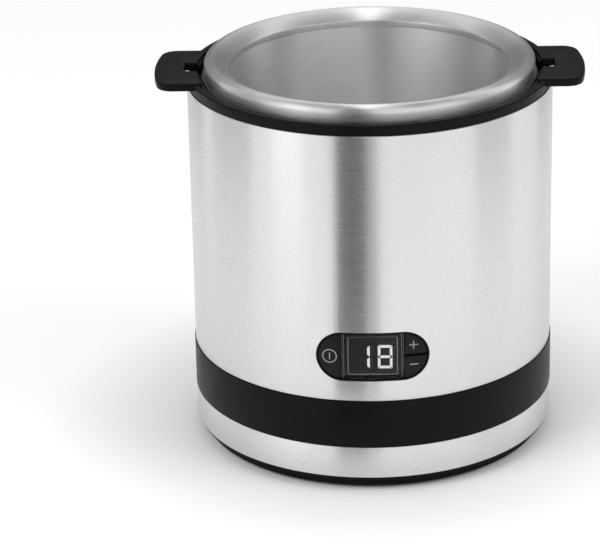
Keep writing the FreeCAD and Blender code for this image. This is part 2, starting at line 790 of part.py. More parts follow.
def make_bowl():
    face = bowl_outline(0.0)
    back = bowl_outline(steel_t)
    floor_end = line((0, z_bowl_floor), (0, z_bowl_floor - steel_t))
    skirt_end = line((rim_r, z_skirt), (rim_r - steel_t, z_skirt))
    save("bowl_liner", turned_edges(Part.__sortEdges__(face + back + [floor_end, skirt_end])))

    wall_edges = back[:3]
    top_r = mouth_r + steel_t
    top_z = z_lip_low + steel_t
    closing = [line((top_r, top_z), (0, top_z)), line((0, top_z), (0, z_bowl_floor - steel_t))]
    steel_volume = turned_edges(Part.__sortEdges__(wall_edges + closing))
    z_inside = z_jacket + jacket_wall
    z_jacket_top = z_skirt
    z_seal = z_jacket_top - seal_h
    save("bowl_jacket", turned([
        (socket_r, z_jacket), (jacket_r, z_jacket), (jacket_r, z_jacket_top), (jacket_in, z_jacket_top),
        (jacket_in, z_inside), (socket_r, z_inside),
    ]))
    socket = disc(socket_r, z_jacket, z_jacket + socket_h)
    pocket = six_sided(hub_flats + 2 * free, z_jacket, z_jacket + socket_h - socket_roof)
    save("bowl_socket", cut(socket, pocket))
    save("coolant_fill", cut(disc(jacket_in, z_inside, z_seal), steel_volume, socket))
    save("bowl_seal", cut(disc(jacket_in, z_seal, z_jacket_top), steel_volume))


def make_panel_frame():
    body = disc(body_r, 0, tall)
    front = -body_r - past
    pocket_w = panel_w - 2 * panel_border
    pocket_h = panel_h - 2 * panel_border
    bezel = stadium(panel_w, panel_h, front, y_floor_back).common(body)
    flange_out = sleeve_in - slip
    flange_band = ring(flange_out, flange_out - panel_flange_t, 0, tall)
    wide = stadium(panel_w + 2 * panel_flange, panel_h + 2 * panel_flange, front, y_board)
    shell = cut(fuse(bezel, wide.common(flange_band)), stadium(pocket_w, pocket_h, front, y_floor))
    ribs = []
    for side in (-1, 1):
        middle = side * (window_w - window_rib) / 2
        low = z_panel - pocket_h / 2 - slip
        high = z_panel + pocket_h / 2 + slip
        rib = block(middle - window_rib / 2, middle + window_rib / 2, front, y_floor + slip, low, high)
        ribs.append(rib.common(disc(window_in, 0, tall)))
    posts = [rod_y(post_r, y_floor, y_board, x, z) for x, z in post_places()]
    room = 2 * slip
    before = y_floor - past
    behind = y_floor_back + past
    holes = [block(-module_w / 2 - room, module_w / 2 + room, before, behind,
                   z_panel - module_h / 2 - room, z_panel + module_h / 2 + room)]
    holes += [rod_y(stem_r + free, before, behind, x, z) for x, z in key_places().values()]
    holes += [rod_y(small_screw_r + slip, y_floor_back, y_board, x, z) for x, z in post_places()]
    save("panel_frame", cut(fuse(shell, *ribs, *posts), *holes))

    glass = stadium(pocket_w - 2 * slip, pocket_h - 2 * slip, front, y_floor)
    glass = glass.common(ring(window_r, window_in, 0, tall))
    middle = block(-window_w / 2, window_w / 2, front, 0, 0, tall)
    save("display_window", glass.common(middle))


def post_places():
    return [(sx * post_x, z_panel + sz * post_z) for sx in (-1, 1) for sz in (-1, 1)]


def key_places():
    return {
        "power": (power_key_x, z_panel),
        "plus": (step_key_x, z_panel + step_key_z),
        "minus": (step_key_x, z_panel - step_key_z),
    }


def make_keys():
    front = -body_r - past
    inset = panel_border + key_gap
    plate = stadium(panel_w - 2 * inset, panel_h - 2 * inset, front, y_key)
    plate = plate.common(disc(body_r - key_sink, 0, tall))
    side = window_w / 2 + key_gap
    split = key_split / 2
    zones = {
        "power": block(-body_r, -side, front, 0, 0, tall),
        "plus": block(side, body_r, front, 0, z_panel + split, tall),
        "minus": block(side, body_r, front, 0, 0, z_panel - split),
    }
    switches = []
    for name, (x, z) in key_places().items():
        stem = rod_y(stem_r, y_key - slip, y_plunger, x, z)
        save(name + "_button", fuse(plate.common(zones[name]), stem))
        save(name + "_plunger", rod_y(plunger_r, y_plunger, y_switch + plunger_in, x, z))
        reach = switch_size / 2
        switch = block(x - reach, x + reach, y_switch, y_board, z - reach, z + reach)
        bore_end = y_switch + plunger_in + key_travel + slip
        switches.append(cut(switch, rod_y(plunger_r + run, y_switch, bore_end, x, z)))
    save("tact_switches", *switches)


def bar(x, outline):
    """One lit bar of a digit, lying on the display's face, from its (across, up) corners."""
    corners = [Vector(x + across, y_module - segment_t, z_panel + up) for across, up in outline]
    return Part.Face(Part.makePolygon(corners + corners[:1])).extrude(Vector(0, segment_t, 0))


def digit(x, lit):
    """The bars of one seven-bar digit that are lit, named by where they are."""
    side = digit_w / 2
    rise = digit_h / 2
    half = segment_w / 2
    inner = side - segment_w
    cap = [(gap_side, rise) for gap_side in (-side + segment_gap, side - segment_gap)]
    cap += [(inner - segment_gap, rise - segment_w), (segment_gap - inner, rise - segment_w)]
    tip = inner + half - segment_gap
    middle = [(-tip, 0), (half - tip, half), (tip - half, half)]
    middle += [(-across, -up) for across, up in middle]
    post = [(side, rise - segment_gap), (inner, rise - segment_w - segment_gap), (inner, half + segment_gap)]
    post += [(inner + half, segment_gap), (side, half + segment_gap)]
    bars = {
        "top": cap, "middle": middle, "bottom": [(across, -up) for across, up in cap],
        "upper_right": post, "lower_right": [(across, -up) for across, up in post],
        "upper_left": [(-across, up) for across, up in post],
        "lower_left": [(-across, -up) for across, up in post],
    }
    return [bar(x, bars[name]) for name in (bars if lit == "all" else lit)]


def make_display():
    half_w = module_w / 2
    half_h = module_h / 2
    save("display_module", block(-half_w, half_w, y_module, y_board, z_panel - half_h, z_panel + half_h))
    tens = digit(-digit_pitch / 2, ("upper_right", "lower_right"))
    save("lit_digits", *tens, *digit(digit_pitch / 2, "all"))
    low = z_panel - board_h / 2
    board = block(-board_w / 2, board_w / 2, y_board, y_board_back, low, low + board_h)
    holes = [rod_y(small_screw_r + slip, y_board, y_board_back, x, z) for x, z in post_places()]
    save("control_board", cut(board, *holes))
    screws = []
    for x, z in post_places():
        fixing = screw(small_screw_r, small_head_r, small_head_h, 0, y_floor_back - y_board_back, 0, 0)
        fixing.rotate(Vector(0, 0, 0), Vector(1, 0, 0), -90)
        fixing.translate(Vector(x, y_board_back, z))
        screws.append(fixing)
    save("board_screws", *screws)


def make_supply():
    z_low = z_pan_floor + supply_post_h
    z_top = z_low + board_t
    board = centred_block(supply_w, supply_d, z_low, z_top, supply_x)
    holes = [disc(small_screw_r + slip, z_low, z_top, x, y) for x, y in supply_corners()]
    save("power_board", cut(board, *holes))
    head = (small_screw_r, small_head_r, small_head_h)
    save("power_board_screws", *[screw(*head, z_top, z_pan_floor, x, y) for x, y in supply_corners()])

    width, depth, height = transformer_size
    core_h = height / 3
    place = (supply_x + transformer_shift[0], transformer_shift[1])
    core = centred_block(width, depth, z_top + core_h, z_top + 2 * core_h, *place)
    coil = centred_block(*coil_size, z_top, z_top + height, *place)
    save("transformer", fuse(core, coil))
    far_y = supply_d / 2 - supply_post_inset
    pair_x = supply_x + capacitor_shift
    places = [(pair_x + side * capacitor_pitch / 2, far_y - capacitor_r) for side in (-1, 1)]
    save("capacitors", *[disc(capacitor_r, z_top, z_top + capacitor_h, x, y) for x, y in places])
    fuse_x = supply_x - supply_w / 2 + supply_post_inset
    holder = centred_block(2 * fuse_r, fuse_len / 2, z_top, z_top + fuse_r, fuse_x, fuse_y)
    tube = rod_y(fuse_r, fuse_y - fuse_len / 2, fuse_y + fuse_len / 2, fuse_x, z_top + 1.5 * fuse_r)
    save("fuse", fuse(holder, tube))


def ribbon_slot(low, high):
    room = 2 * ribbon_t
    return centred_block(ribbon_w + room, ribbon_t + room, low, high, ribbon_x, ribbon_y)


def make_wiring():
    z_gland = z_band + gland_up
    front = spigot_in - gland_flange_t
    tube = rod_y(gland_r, front, band_r - gland_sink, 0, z_gland)
    flange = rod_y(gland_flange_r, front, band_r, 0, z_gland).common(disc(spigot_in - slip, 0, tall))
    save("cord_gland", cut(fuse(tube, flange), rod_y(gland_bore_r, front, band_r, 0, z_gland)))

    z_board = z_pan_floor + supply_post_h + board_t
    z_exit = z_deck - motor_h + motor_cap_h / 2
    bend = z_exit - z_board - lead_r / 2
    x_land = supply_right - 2 * lead_pitch
    leads = []
    for side in (-1, 1):
        y = motor_y + side * lead_pitch / 2
        start_x = motor_x - math.sqrt(motor_r ** 2 - (lead_pitch / 2 - lead_r) ** 2)
        start = Vector(start_x, y, z_exit)
        level = Part.makeCylinder(lead_r, start_x - x_land - bend, start, Vector(-1, 0, 0))
        elbow = Part.makeTorus(bend, lead_r, Vector(x_land + bend, y, z_exit - bend), Vector(0, 1, 0))
        corner = block(x_land - lead_r, x_land + bend, y - lead_r, y + lead_r, z_exit - bend, z_exit + lead_r)
        drop = disc(lead_r, z_board, z_exit - bend, x_land, y)
        leads.append(fuse(level, elbow.common(corner), drop))
    save("motor_leads", *leads)

    half = ribbon_t / 2
    z_turn = z_board + 2 * ribbon_w
    y_end = -supply_d / 2 + 2 * ribbon_w
    outline = [
        (y_board_back, z_panel + half), (ribbon_y + half, z_panel + half), (ribbon_y + half, z_turn + half),
        (y_end + half, z_turn + half), (y_end + half, z_board), (y_end - half, z_board),
        (y_end - half, z_turn - half), (ribbon_y - half, z_turn - half), (ribbon_y - half, z_panel - half),
        (y_board_back, z_panel - half),
    ]
    corners = [Vector(ribbon_x - ribbon_w / 2, y, z) for y, z in outline]
    sheet = Part.Face(Part.makePolygon(corners + corners[:1]))
    save("panel_ribbon", sheet.extrude(Vector(ribbon_w, 0, 0)))


os.makedirs("parts", exist_ok=True)
make_steel()
make_band()
make_base()
make_deck()
make_gearbox()
make_motor()
make_drive()
make_well()
make_handle_ring()
make_bowl()
make_panel_frame()
make_keys()
make_display()
make_supply()
make_wiring()
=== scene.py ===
# %% [markdown]
# # A counter-top frozen-yogurt maker
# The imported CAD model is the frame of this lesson: it fixes every size, place and joint. The pieces
# that show are modelled again here, with the rounded edges, gaps and finishes of the real ones. Each
# one rides on its CAD body, so the freezer bowl still lifts and turns and the keys still press.

# %% Load the CAD frame
import json
import math

import bpy
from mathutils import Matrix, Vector


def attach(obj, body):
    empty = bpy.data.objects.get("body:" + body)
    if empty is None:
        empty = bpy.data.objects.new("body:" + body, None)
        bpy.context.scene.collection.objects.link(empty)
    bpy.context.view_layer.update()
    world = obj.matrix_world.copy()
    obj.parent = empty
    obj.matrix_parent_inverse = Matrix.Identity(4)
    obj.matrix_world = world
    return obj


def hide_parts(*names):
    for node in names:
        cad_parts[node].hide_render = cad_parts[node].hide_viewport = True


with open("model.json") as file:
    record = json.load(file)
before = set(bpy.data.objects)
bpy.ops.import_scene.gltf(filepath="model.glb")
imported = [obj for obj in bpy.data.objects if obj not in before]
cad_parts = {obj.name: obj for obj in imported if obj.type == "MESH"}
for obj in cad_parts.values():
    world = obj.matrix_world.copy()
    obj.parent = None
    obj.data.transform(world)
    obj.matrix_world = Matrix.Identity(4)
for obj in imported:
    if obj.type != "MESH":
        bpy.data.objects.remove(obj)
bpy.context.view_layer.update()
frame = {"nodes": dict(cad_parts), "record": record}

MM = 0.001

# %% [markdown]
# An operator works on whatever is selected, and loading the frame leaves the CAD nodes selected. So
# each step starts from a clean selection. Points, edges and faces are picked by their place, as you
# would pick them by eye.

# %% Selecting
def clear_selection():
    """Leaves edit mode and deselects every object."""
    if bpy.context.mode != "OBJECT":
        bpy.ops.object.mode_set(mode="OBJECT")
    bpy.ops.object.select_all(action="DESELECT")


def only(piece):
    """Selects one object and nothing else."""
    clear_selection()
    piece.select_set(True)
    bpy.context.view_layer.objects.active = piece


def edit(piece, kind, test):
    """Opens a piece in edit mode and picks the points, edges or faces whose every corner passes the test."""
    only(piece)
    mesh = piece.data
    groups = {"VERT": mesh.vertices, "EDGE": mesh.edges, "FACE": mesh.polygons}
    for group in groups.values():
        group.foreach_set("select", [False] * len(group))
    picked = 0
    for item in groups[kind]:
        corners = [item.index] if kind == "VERT" else item.vertices
        item.select = all(test(mesh.vertices[corner].co / MM) for corner in corners)
        picked += item.select
    bpy.ops.object.mode_set(mode="EDIT")
    bpy.ops.mesh.select_mode(type=kind)
    return picked


def modify(piece, kind, **settings):
    """Adds a modifier, sets it up and applies it."""
    only(piece)
    modifier = piece.modifiers.new(kind.lower(), kind)
    for setting, value in settings.items():
        setattr(modifier, setting, value)
    bpy.ops.object.modifier_apply(modifier=modifier.name)


def carve(piece, *tools, operation="DIFFERENCE"):
    """Cuts tools out of a piece, or joins them to it, and throws the tools away."""
    for tool in tools:
        modify(piece, "BOOLEAN", object=tool, operation=operation, solver="EXACT")
        bpy.data.objects.remove(tool)


# %% [markdown]
# Most of this machine is round, so most pieces are turned, as on a lathe: half of the cross-section is
# drawn point by point with extrude and spun once round an axis. Sharp corners of the drawing get a
# small arc first, because a real pressed or moulded edge is never razor sharp and its rounding is what
# catches the light.

# %% Turning on a lathe
TURN_STEPS = 240


def rounded(corners, steps=4):
    """Outline points from (radius, height, rounding) corners, each rounding drawn as an arc."""
    points = []
    for i, (radius, height, rounding) in enumerate(corners):
        here = Vector((radius, height))
        if not rounding:
            points.append(tuple(here))
            continue
        before = (Vector(corners[i - 1][:2]) - here).normalized()
        after = (Vector(corners[(i + 1) % len(corners)][:2]) - here).normalized()
        half = before.angle(after) / 2
        middle = here + (before + after).normalized() * rounding / math.sin(half)
        first = here + before * rounding / math.tan(half) - middle
        last = here + after * rounding / math.tan(half) - middle
        points += [tuple(middle + rounding * first.slerp(last, step / steps)) for step in range(steps + 1)]
    return points


def bowed(start, end, end_rise, steps=10):
    """Points of an arc from start to end that bows upward and arrives with the slope end_rise."""
    chord = Vector(end) - Vector(start)
    along = chord.normalized()
    across = Vector((-along.y, along.x))
    sweep = math.atan2(along.y, along.x) - end_rise
    radius = chord.length / 2 / math.sin(sweep)
    centre = (Vector(start) + Vector(end)) / 2 - across * radius * math.cos(sweep)
    turns = [sweep * (2 * step / steps - 1) for step in range(steps + 1)]
    return [tuple(centre + radius * (along * math.sin(turn) + across * math.cos(turn))) for turn in turns]


def draw_outline(points):
    """Draws a closed line through points in metres by extruding one point, and stays in edit mode."""
    clear_selection()
    bpy.ops.mesh.primitive_plane_add(size=MM)
    bpy.ops.object.mode_set(mode="EDIT")
    bpy.ops.mesh.select_mode(type="VERT")
    bpy.ops.mesh.select_all(action="SELECT")
    bpy.ops.mesh.merge(type="CENTER")
    bpy.ops.transform.translate(value=points[0])
    for here, there in zip(points, points[1:] + points[:1]):
        bpy.ops.mesh.extrude_region_move(TRANSFORM_OT_translate={"value": there - here})
    bpy.ops.mesh.select_all(action="SELECT")
    return bpy.context.object


def close_solid():
    """Merges the points that meet, turns all faces outwards and leaves edit mode."""
    bpy.ops.mesh.select_all(action="SELECT")
    bpy.ops.mesh.remove_doubles(threshold=0.002 * MM)
    bpy.ops.mesh.normals_make_consistent(inside=False)
    bpy.ops.object.mode_set(mode="OBJECT")


def turned(outline, place=(0, 0, 0), along=(0, 0, 1), steps=TURN_STEPS):
    """A solid from a closed (radius, height) outline in millimetres, spun round an axis through place."""
    centre = Vector(place) * MM
    piece = draw_outline([centre + MM * (radius * Vector((1, 0, 0)) + height * Vector(along))
                          for radius, height in outline])
    bpy.ops.mesh.spin(steps=steps, angle=math.tau, center=centre, axis=along)
    close_solid()
    return piece


def block(low, high):
    """A box between two corners in millimetres, with its place in its mesh."""
    clear_selection()
    low = Vector(low) * MM
    high = Vector(high) * MM
    bpy.ops.mesh.primitive_cube_add(size=1, location=(low + high) / 2)
    bpy.context.object.scale = high - low
    bpy.ops.object.transform_apply(location=True, rotation=True, scale=True)
    return bpy.context.object


# %% [markdown]
# The control panel is a flat design laid on a round wall. Its pieces start as a cylinder whose two
# halves are pulled apart into a round-ended plate. The plate is sliced into narrow strips, and then
# each point is moved back so that its depth becomes its distance from the machine's axis.

# %% Round-ended plates that follow the body
END_SIDES = 96
STRIP = 1.2
Z_PANEL = 62.9


def round_ended(width, height, front, back, strips=True):
    """A plate between two depths, with half-round ends, centred on the panel."""
    clear_selection()
    half_step = math.pi / END_SIDES
    bpy.ops.mesh.primitive_cylinder_add(
        vertices=END_SIDES, radius=height / 2 * MM, depth=(back - front) * MM,
        location=(0, (front + back) / 2 * MM, Z_PANEL * MM), rotation=(math.pi / 2, half_step, 0))
    bpy.ops.object.transform_apply(location=True, rotation=True, scale=True)
    plate = bpy.context.object
    reach = (width - height) / 2 * MM
    for side in (-1, 1):
        edit(plate, "VERT", lambda co: co.x * side > 0 and abs(co.x) < height)
        bpy.ops.transform.translate(value=(side * reach, 0, 0))
        bpy.ops.object.mode_set(mode="OBJECT")
    if strips:
        slice_upright(plate, width)
    return plate


def slice_upright(plate, width):
    """Cuts a plate into upright strips narrow enough to follow a round wall."""
    edit(plate, "VERT", lambda co: True)
    count = int(width / STRIP)
    for step in range(1, count):
        bpy.ops.mesh.select_all(action="SELECT")
        x = width * (step / count - 0.5) * MM
        bpy.ops.mesh.bisect(plane_co=(x, 0, 0), plane_no=(1, 0, 0))
    bpy.ops.object.mode_set(mode="OBJECT")


def keep_side(plate, point, outward):
    """Cuts a plate with a plane, closes the cut and throws the outward side away."""
    edit(plate, "VERT", lambda co: True)
    bpy.ops.mesh.bisect(plane_co=Vector(point) * MM, plane_no=outward, use_fill=True, clear_outer=True)
    bpy.ops.object.mode_set(mode="OBJECT")


def lay_on_body(piece, flat_from=0.0):
    """Moves each point in front of flat_from back onto the round wall."""
    for vertex in piece.data.vertices:
        x, y, z = vertex.co
        if y / MM < flat_from:
            vertex.co.y = -math.sqrt(y ** 2 - x ** 2)


# %% [markdown]
# A finish is more than a colour. Under a lens, moulded plastic has a fine grain, rubber is mottled, and
# metal shows its rolling or machining marks. One recipe covers these: a fine noise makes the relief,
# and a broad one varies the colour and the gloss a little. Both read Object coordinates, so nothing
# slides when a piece moves.

# %% A recipe for finishes
def add_noise(tree, scale, detail=2.0):
    """A noise pattern whose scale is in repeats per metre along x, y and z."""
    where = tree.nodes.new("ShaderNodeTexCoord")
    stretch = tree.nodes.new("ShaderNodeMapping")
    stretch.inputs["Scale"].default_value = scale
    noise = tree.nodes.new("ShaderNodeTexNoise")
    noise.inputs["Scale"].default_value = 1.0
    noise.inputs["Detail"].default_value = detail
    tree.links.new(where.outputs["Object"], stretch.inputs["Vector"])
    tree.links.new(stretch.outputs["Vector"], noise.inputs["Vector"])
    return noise.outputs["Fac"]


def add_range(tree, pattern, low, high):
    """Turns the middle of a pattern into a number between low and high."""
    spread = tree.nodes.new("ShaderNodeMapRange")
    spread.inputs["From Min"].default_value = 0.3
    spread.inputs["From Max"].default_value = 0.7
    spread.inputs["To Min"].default_value = low
    spread.inputs["To Max"].default_value = high
    tree.links.new(pattern, spread.inputs["Value"])
    return spread.outputs["Result"]


def add_tint(tree, pattern, colour, mottling):
    """Varies a colour up and down by the share that mottling says."""
    mix = tree.nodes.new("ShaderNodeMix")
    mix.data_type = "RGBA"
    for socket, share in (("A", 1 - mottling), ("B", 1 + mottling)):
        colour_socket = [s for s in mix.inputs if s.name == socket and s.type == "RGBA"][0]
        colour_socket.default_value = [min(1.0, channel * share) for channel in colour] + [1.0]
    tree.links.new(add_range(tree, pattern, 0.0, 1.0), mix.inputs["Factor"])
    return [s for s in mix.outputs if s.type == "RGBA"][0]


def add_relief(tree, shader, pattern, height):
    """Gives a surface a bump of that height in millimetres."""
    relief = tree.nodes.new("ShaderNodeBump")
    relief.inputs["Strength"].default_value = 1.0
    relief.inputs["Distance"].default_value = height * MM
    tree.links.new(pattern, relief.inputs["Height"])
    tree.links.new(relief.outputs["Normal"], shader.inputs["Normal"])


def make_finish(name, colour, roughness, metal=0.0, shine=0.5, grain=(1500, 1500, 1500), relief=0.01,
                mottling=0.08, rub=0.05, broad_share=0.08, **extra):
    """A finish with fine relief, mottled colour and uneven gloss."""
    finish = bpy.data.materials.new(name)
    finish.use_nodes = True
    tree = finish.node_tree
    shader = tree.nodes["Principled BSDF"]
    shader.inputs["Metallic"].default_value = metal
    shader.inputs["Specular IOR Level"].default_value = shine
    for socket, value in extra.items():
        shader.inputs[socket.replace("_", " ")].default_value = value
    fine = add_noise(tree, grain, 3.0)
    broad = add_noise(tree, [scale * broad_share for scale in grain])
    tree.links.new(add_tint(tree, broad, colour, mottling), shader.inputs["Base Color"])
    tree.links.new(add_range(tree, broad, roughness - rub, roughness + rub), shader.inputs["Roughness"])
    add_relief(tree, shader, fine, relief)
    return finish


def place_piece(piece, name, body, slot, finish, *nodes, angle=30):
    """Names a finished piece, smooths its round faces and puts it on its CAD body."""
    only(piece)
    piece.name = name
    piece.data.name = name
    piece.data.materials.clear()
    piece.data.materials.append(finish)
    bpy.ops.object.shade_smooth_by_angle(angle=math.radians(angle))
    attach(piece, body)
    if nodes:
        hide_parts(*nodes)
    print(name, len(piece.data.polygons), "faces, on", body)
    return piece


# %% [markdown]
# The inside of the machine shows only where the freezer bowl is lifted out, but every CAD node still
# gets a finish of its own kind. The record says what each material slot is and its colour. Here each
# class of material is given the gloss and grain it has in life.

# %% Finishes for the CAD nodes that stay
CLASS_LOOKS = {
    "metal": dict(metal=1.0, roughness=0.32, grain=(900, 900, 1800), relief=0.003),
    "plastic": dict(roughness=0.45, grain=(1800, 1800, 1800), relief=0.006),
    "rubber": dict(roughness=0.75, shine=0.3, grain=(1200, 1200, 1200), relief=0.015),
    "glass": dict(roughness=0.08, grain=(200, 200, 200), relief=0.0005, rub=0.02),
}


def look_of(kind):
    """The look of a record's material class, found by the words in its name."""
    words = {"metal": ("metal", "steel", "brass", "chrome"), "rubber": ("rubber",), "glass": ("glass",)}
    for look, names in words.items():
        if any(name in kind for name in names):
            return CLASS_LOOKS[look]
    return CLASS_LOOKS["plastic"]


slot_finish = {}
for material in frame["record"]["materials"]:
    look = look_of(material["class"])
    slot = material["slot"]
    slot_finish[slot] = make_finish("cad_" + slot, material["base_color"][:3], **look)
for subpart in frame["record"]["subparts"]:
    node = frame["nodes"][subpart["node"]]
    node.data.materials.clear()
    node.data.materials.append(slot_finish[subpart["material_slot"]])

# %% [markdown]
# The two sleeves are brushed sheet steel. Brushing leaves fine scratches that run round the body, so a
# reflection stays sharp sideways and smears up and down. Principled gives that with anisotropy, turned
# a quarter because its own direction runs round the Z axis. A noise stretched along the scratches
# varies tone, gloss and relief.

# %% Brushed steel
def add_round_marks(tree, along, across):
    """A noise drawn out round the machine's axis, with its repeats per metre along and across the marks."""
    where = tree.nodes.new("ShaderNodeTexCoord")
    parts = tree.nodes.new("ShaderNodeSeparateXYZ")
    flat = tree.nodes.new("ShaderNodeVectorMath")
    flat.operation = "MULTIPLY"
    flat.inputs[1].default_value = (1, 1, 0)
    radius = tree.nodes.new("ShaderNodeVectorMath")
    radius.operation = "LENGTH"
    climb = tree.nodes.new("ShaderNodeMath")
    climb.operation = "ADD"
    joint = tree.nodes.new("ShaderNodeCombineXYZ")
    stretch = tree.nodes.new("ShaderNodeMapping")
    stretch.inputs["Scale"].default_value = (along, along, across)
    noise = tree.nodes.new("ShaderNodeTexNoise")
    noise.inputs["Scale"].default_value = 1.0
    noise.inputs["Detail"].default_value = 5.0
    wires = [
        (where.outputs["Object"], parts.inputs["Vector"]), (where.outputs["Object"], flat.inputs[0]),
        (flat.outputs["Vector"], radius.inputs[0]), (radius.outputs["Value"], climb.inputs[0]),
        (parts.outputs["Z"], climb.inputs[1]), (parts.outputs["X"], joint.inputs["X"]),
        (parts.outputs["Y"], joint.inputs["Y"]), (climb.outputs["Value"], joint.inputs["Z"]),
        (joint.outputs["Vector"], stretch.inputs["Vector"]),
        (stretch.outputs["Vector"], noise.inputs["Vector"]),
    ]
    for start, end in wires:
        tree.links.new(start, end)
    return noise.outputs["Fac"]


SCRATCH_TINT = 0.05
SCRATCH_GLOSS = 0.06
QUARTER_TURN = 0.25


def make_brushed(name, tone, roughness, smear, along, across, relief):
    """Steel with scratches round the axis, which smear a reflection up and down."""
    finish = bpy.data.materials.new(name)
    finish.use_nodes = True
    tree = finish.node_tree
    shader = tree.nodes["Principled BSDF"]
    shader.inputs["Metallic"].default_value = 1.0
    shader.inputs["Anisotropic"].default_value = smear
    shader.inputs["Anisotropic Rotation"].default_value = QUARTER_TURN
    scratches = add_round_marks(tree, along, across)
    tree.links.new(add_tint(tree, scratches, tone, SCRATCH_TINT), shader.inputs["Base Color"])
    gloss = add_range(tree, scratches, roughness - SCRATCH_GLOSS, roughness + SCRATCH_GLOSS)
    tree.links.new(gloss, shader.inputs["Roughness"])
    add_relief(tree, shader, scratches, relief)
    return finish


brushed_steel = make_brushed("brushed_steel", (0.72, 0.72, 0.72), 0.31, 0.93, 160, 4200, 0.0011)
print("brushed steel ready")

# %% [markdown]
# Each sleeve is turned as a thin ring with its cut edges just broken. The upper one then has the
# panel's round-ended opening cut through its front with a Boolean. The edge of that opening is bevelled
# a little, because in the picture it shows as a thin bright line round the black panel. Bevel leaves
# its new faces selected, so those faces are given a polished finish of their own.

# %% Steel sleeves
BODY_R = 79.0
SLEEVE_IN = 78.2
EDGE = 0.25
Z_TRAY_TOP = 6.7
Z_BAND_LOW = 20.9
Z_BAND_TOP = 42.6
Z_COLLAR = 161.1


def sleeve(low, high):
    """A thin steel ring between two heights, with broken edges."""
    return turned(rounded([
        (SLEEVE_IN, low, 0), (BODY_R, low, EDGE), (BODY_R, high, EDGE), (SLEEVE_IN, high, 0),
    ], steps=3))


PANEL_W = 47.6
PANEL_H = 21.9
PANEL_GAP = 0.15
BRIGHT_EDGE = 0.35
upper = sleeve(Z_BAND_TOP, Z_COLLAR)
opening = round_ended(PANEL_W + 2 * PANEL_GAP, PANEL_H + 2 * PANEL_GAP, -BODY_R - 5, -60, strips=False)
carve(upper, opening)


def on_opening(co):
    """True for a point on the outer edge of the panel's opening."""
    near_panel = co.y < 0 and abs(co.x) < PANEL_W / 2 + 2 and abs(co.z - Z_PANEL) < PANEL_H / 2 + 1
    return near_panel and co.xy.length > BODY_R - 0.1


print("opening edges:", edit(upper, "EDGE", on_opening))
bpy.ops.mesh.bevel(offset=BRIGHT_EDGE * MM, segments=2, clamp_overlap=True)
bpy.ops.object.mode_set(mode="OBJECT")
cut_edge = [polygon.index for polygon in upper.data.polygons if polygon.select]
place_piece(upper, "steel_upper_sleeve", "housing", "brushed_steel", brushed_steel, "upper_sleeve", angle=20)
polished_edge = make_finish("polished_edge", (0.95, 0.95, 0.95), 0.3, metal=1.0, grain=(900, 900, 900),
                            relief=0.001, mottling=0.03)
upper.data.materials.append(polished_edge)
for index in cut_edge:
    upper.data.polygons[index].material_index = 1
lower = sleeve(Z_TRAY_TOP, Z_BAND_LOW)
place_piece(lower, "steel_lower_sleeve", "housing", "brushed_steel", brushed_steel, "lower_sleeve", angle=20)

# %% [markdown]
# The waist band, the collar, the ring with its ears and the base tray are injection-moulded black
# plastic with a satin skin. The band stands a hair proud of the steel, and its hidden spigots reach
# into both sleeves. Its edges are rounded and it has a hole at the back for the mains inlet, cut with a
# lathe-turned plug.

# %% Waist band
black_satin = make_finish("black_satin", (0.0035, 0.0035, 0.0037), 0.40, shine=0.10, grain=(1700, 1700, 1700),
                          relief=0.004, mottling=0.12, rub=0.04)
BAND_R = 79.4
BAND_SOFT = 0.35
SPIGOT_R = 78.1
SPIGOT_IN = 75.7
INLET_R = 6.1
Z_INLET = 31.0


def plug(radius, front, back, x, z, steps=64):
    """A plain rod along Y, used as a cutter or a stem."""
    return turned([(0, front), (radius, front), (radius, back), (0, back)], (x, 0, z), (0, 1, 0), steps)


band = turned(rounded([
    (SPIGOT_IN, 14.5, 0), (SPIGOT_R, 14.5, 0), (SPIGOT_R, Z_BAND_LOW, 0), (BAND_R, Z_BAND_LOW, BAND_SOFT),
    (BAND_R, Z_BAND_TOP, BAND_SOFT), (SPIGOT_R, Z_BAND_TOP, 0), (SPIGOT_R, 49.0, 0), (SPIGOT_IN, 49.0, 0),
]))
carve(band, plug(INLET_R, 60, 90, 0, Z_INLET))
place_piece(band, "black_waist_band", "housing", "black_satin", black_satin, "middle_band")

# %% [markdown]
# The base tray sits on four rubber feet. Its plinth is set in, so that the machine seems to float on a
# shadow, and its underside has round seats for the feet, wells for the screws and a raised ring that
# stiffens it. One foot is turned, and the other three are copies of it.

# %% Base tray and feet
black_base = make_finish("black_base", (0.004, 0.004, 0.004), 0.58, shine=0.10, grain=(900, 900, 900),
                         relief=0.02, mottling=0.15)
PLINTH_R = 75.5
Z_LIP = 5.2
LIP_EDGE_R = 78.4
FOOT_AT = 62.0
FOOT_R = 8.0
SCREW_AT = 68.5
SCREW_WELL_R = 2.9


def turned_copy(piece, angle):
    """A copy with its own mesh, turned about the machine's axis."""
    only(piece)
    bpy.ops.object.duplicate()
    bpy.context.object.rotation_euler.z = math.radians(angle)
    bpy.ops.object.transform_apply(location=True, rotation=True, scale=True)
    return bpy.context.object


def joined(pieces):
    """Joins pieces into the first one."""
    only(pieces[0])
    for piece in pieces:
        piece.select_set(True)
    bpy.ops.object.join()
    return bpy.context.object


def round_cutter(radius, low, high, away, angle, steps):
    """An upright rod at a distance and an angle from the machine's axis."""
    turn = math.radians(angle)
    place = (away * math.cos(turn), away * math.sin(turn), 0)
    return turned([(0, low), (radius, low), (radius, high), (0, high)], place, steps=steps)


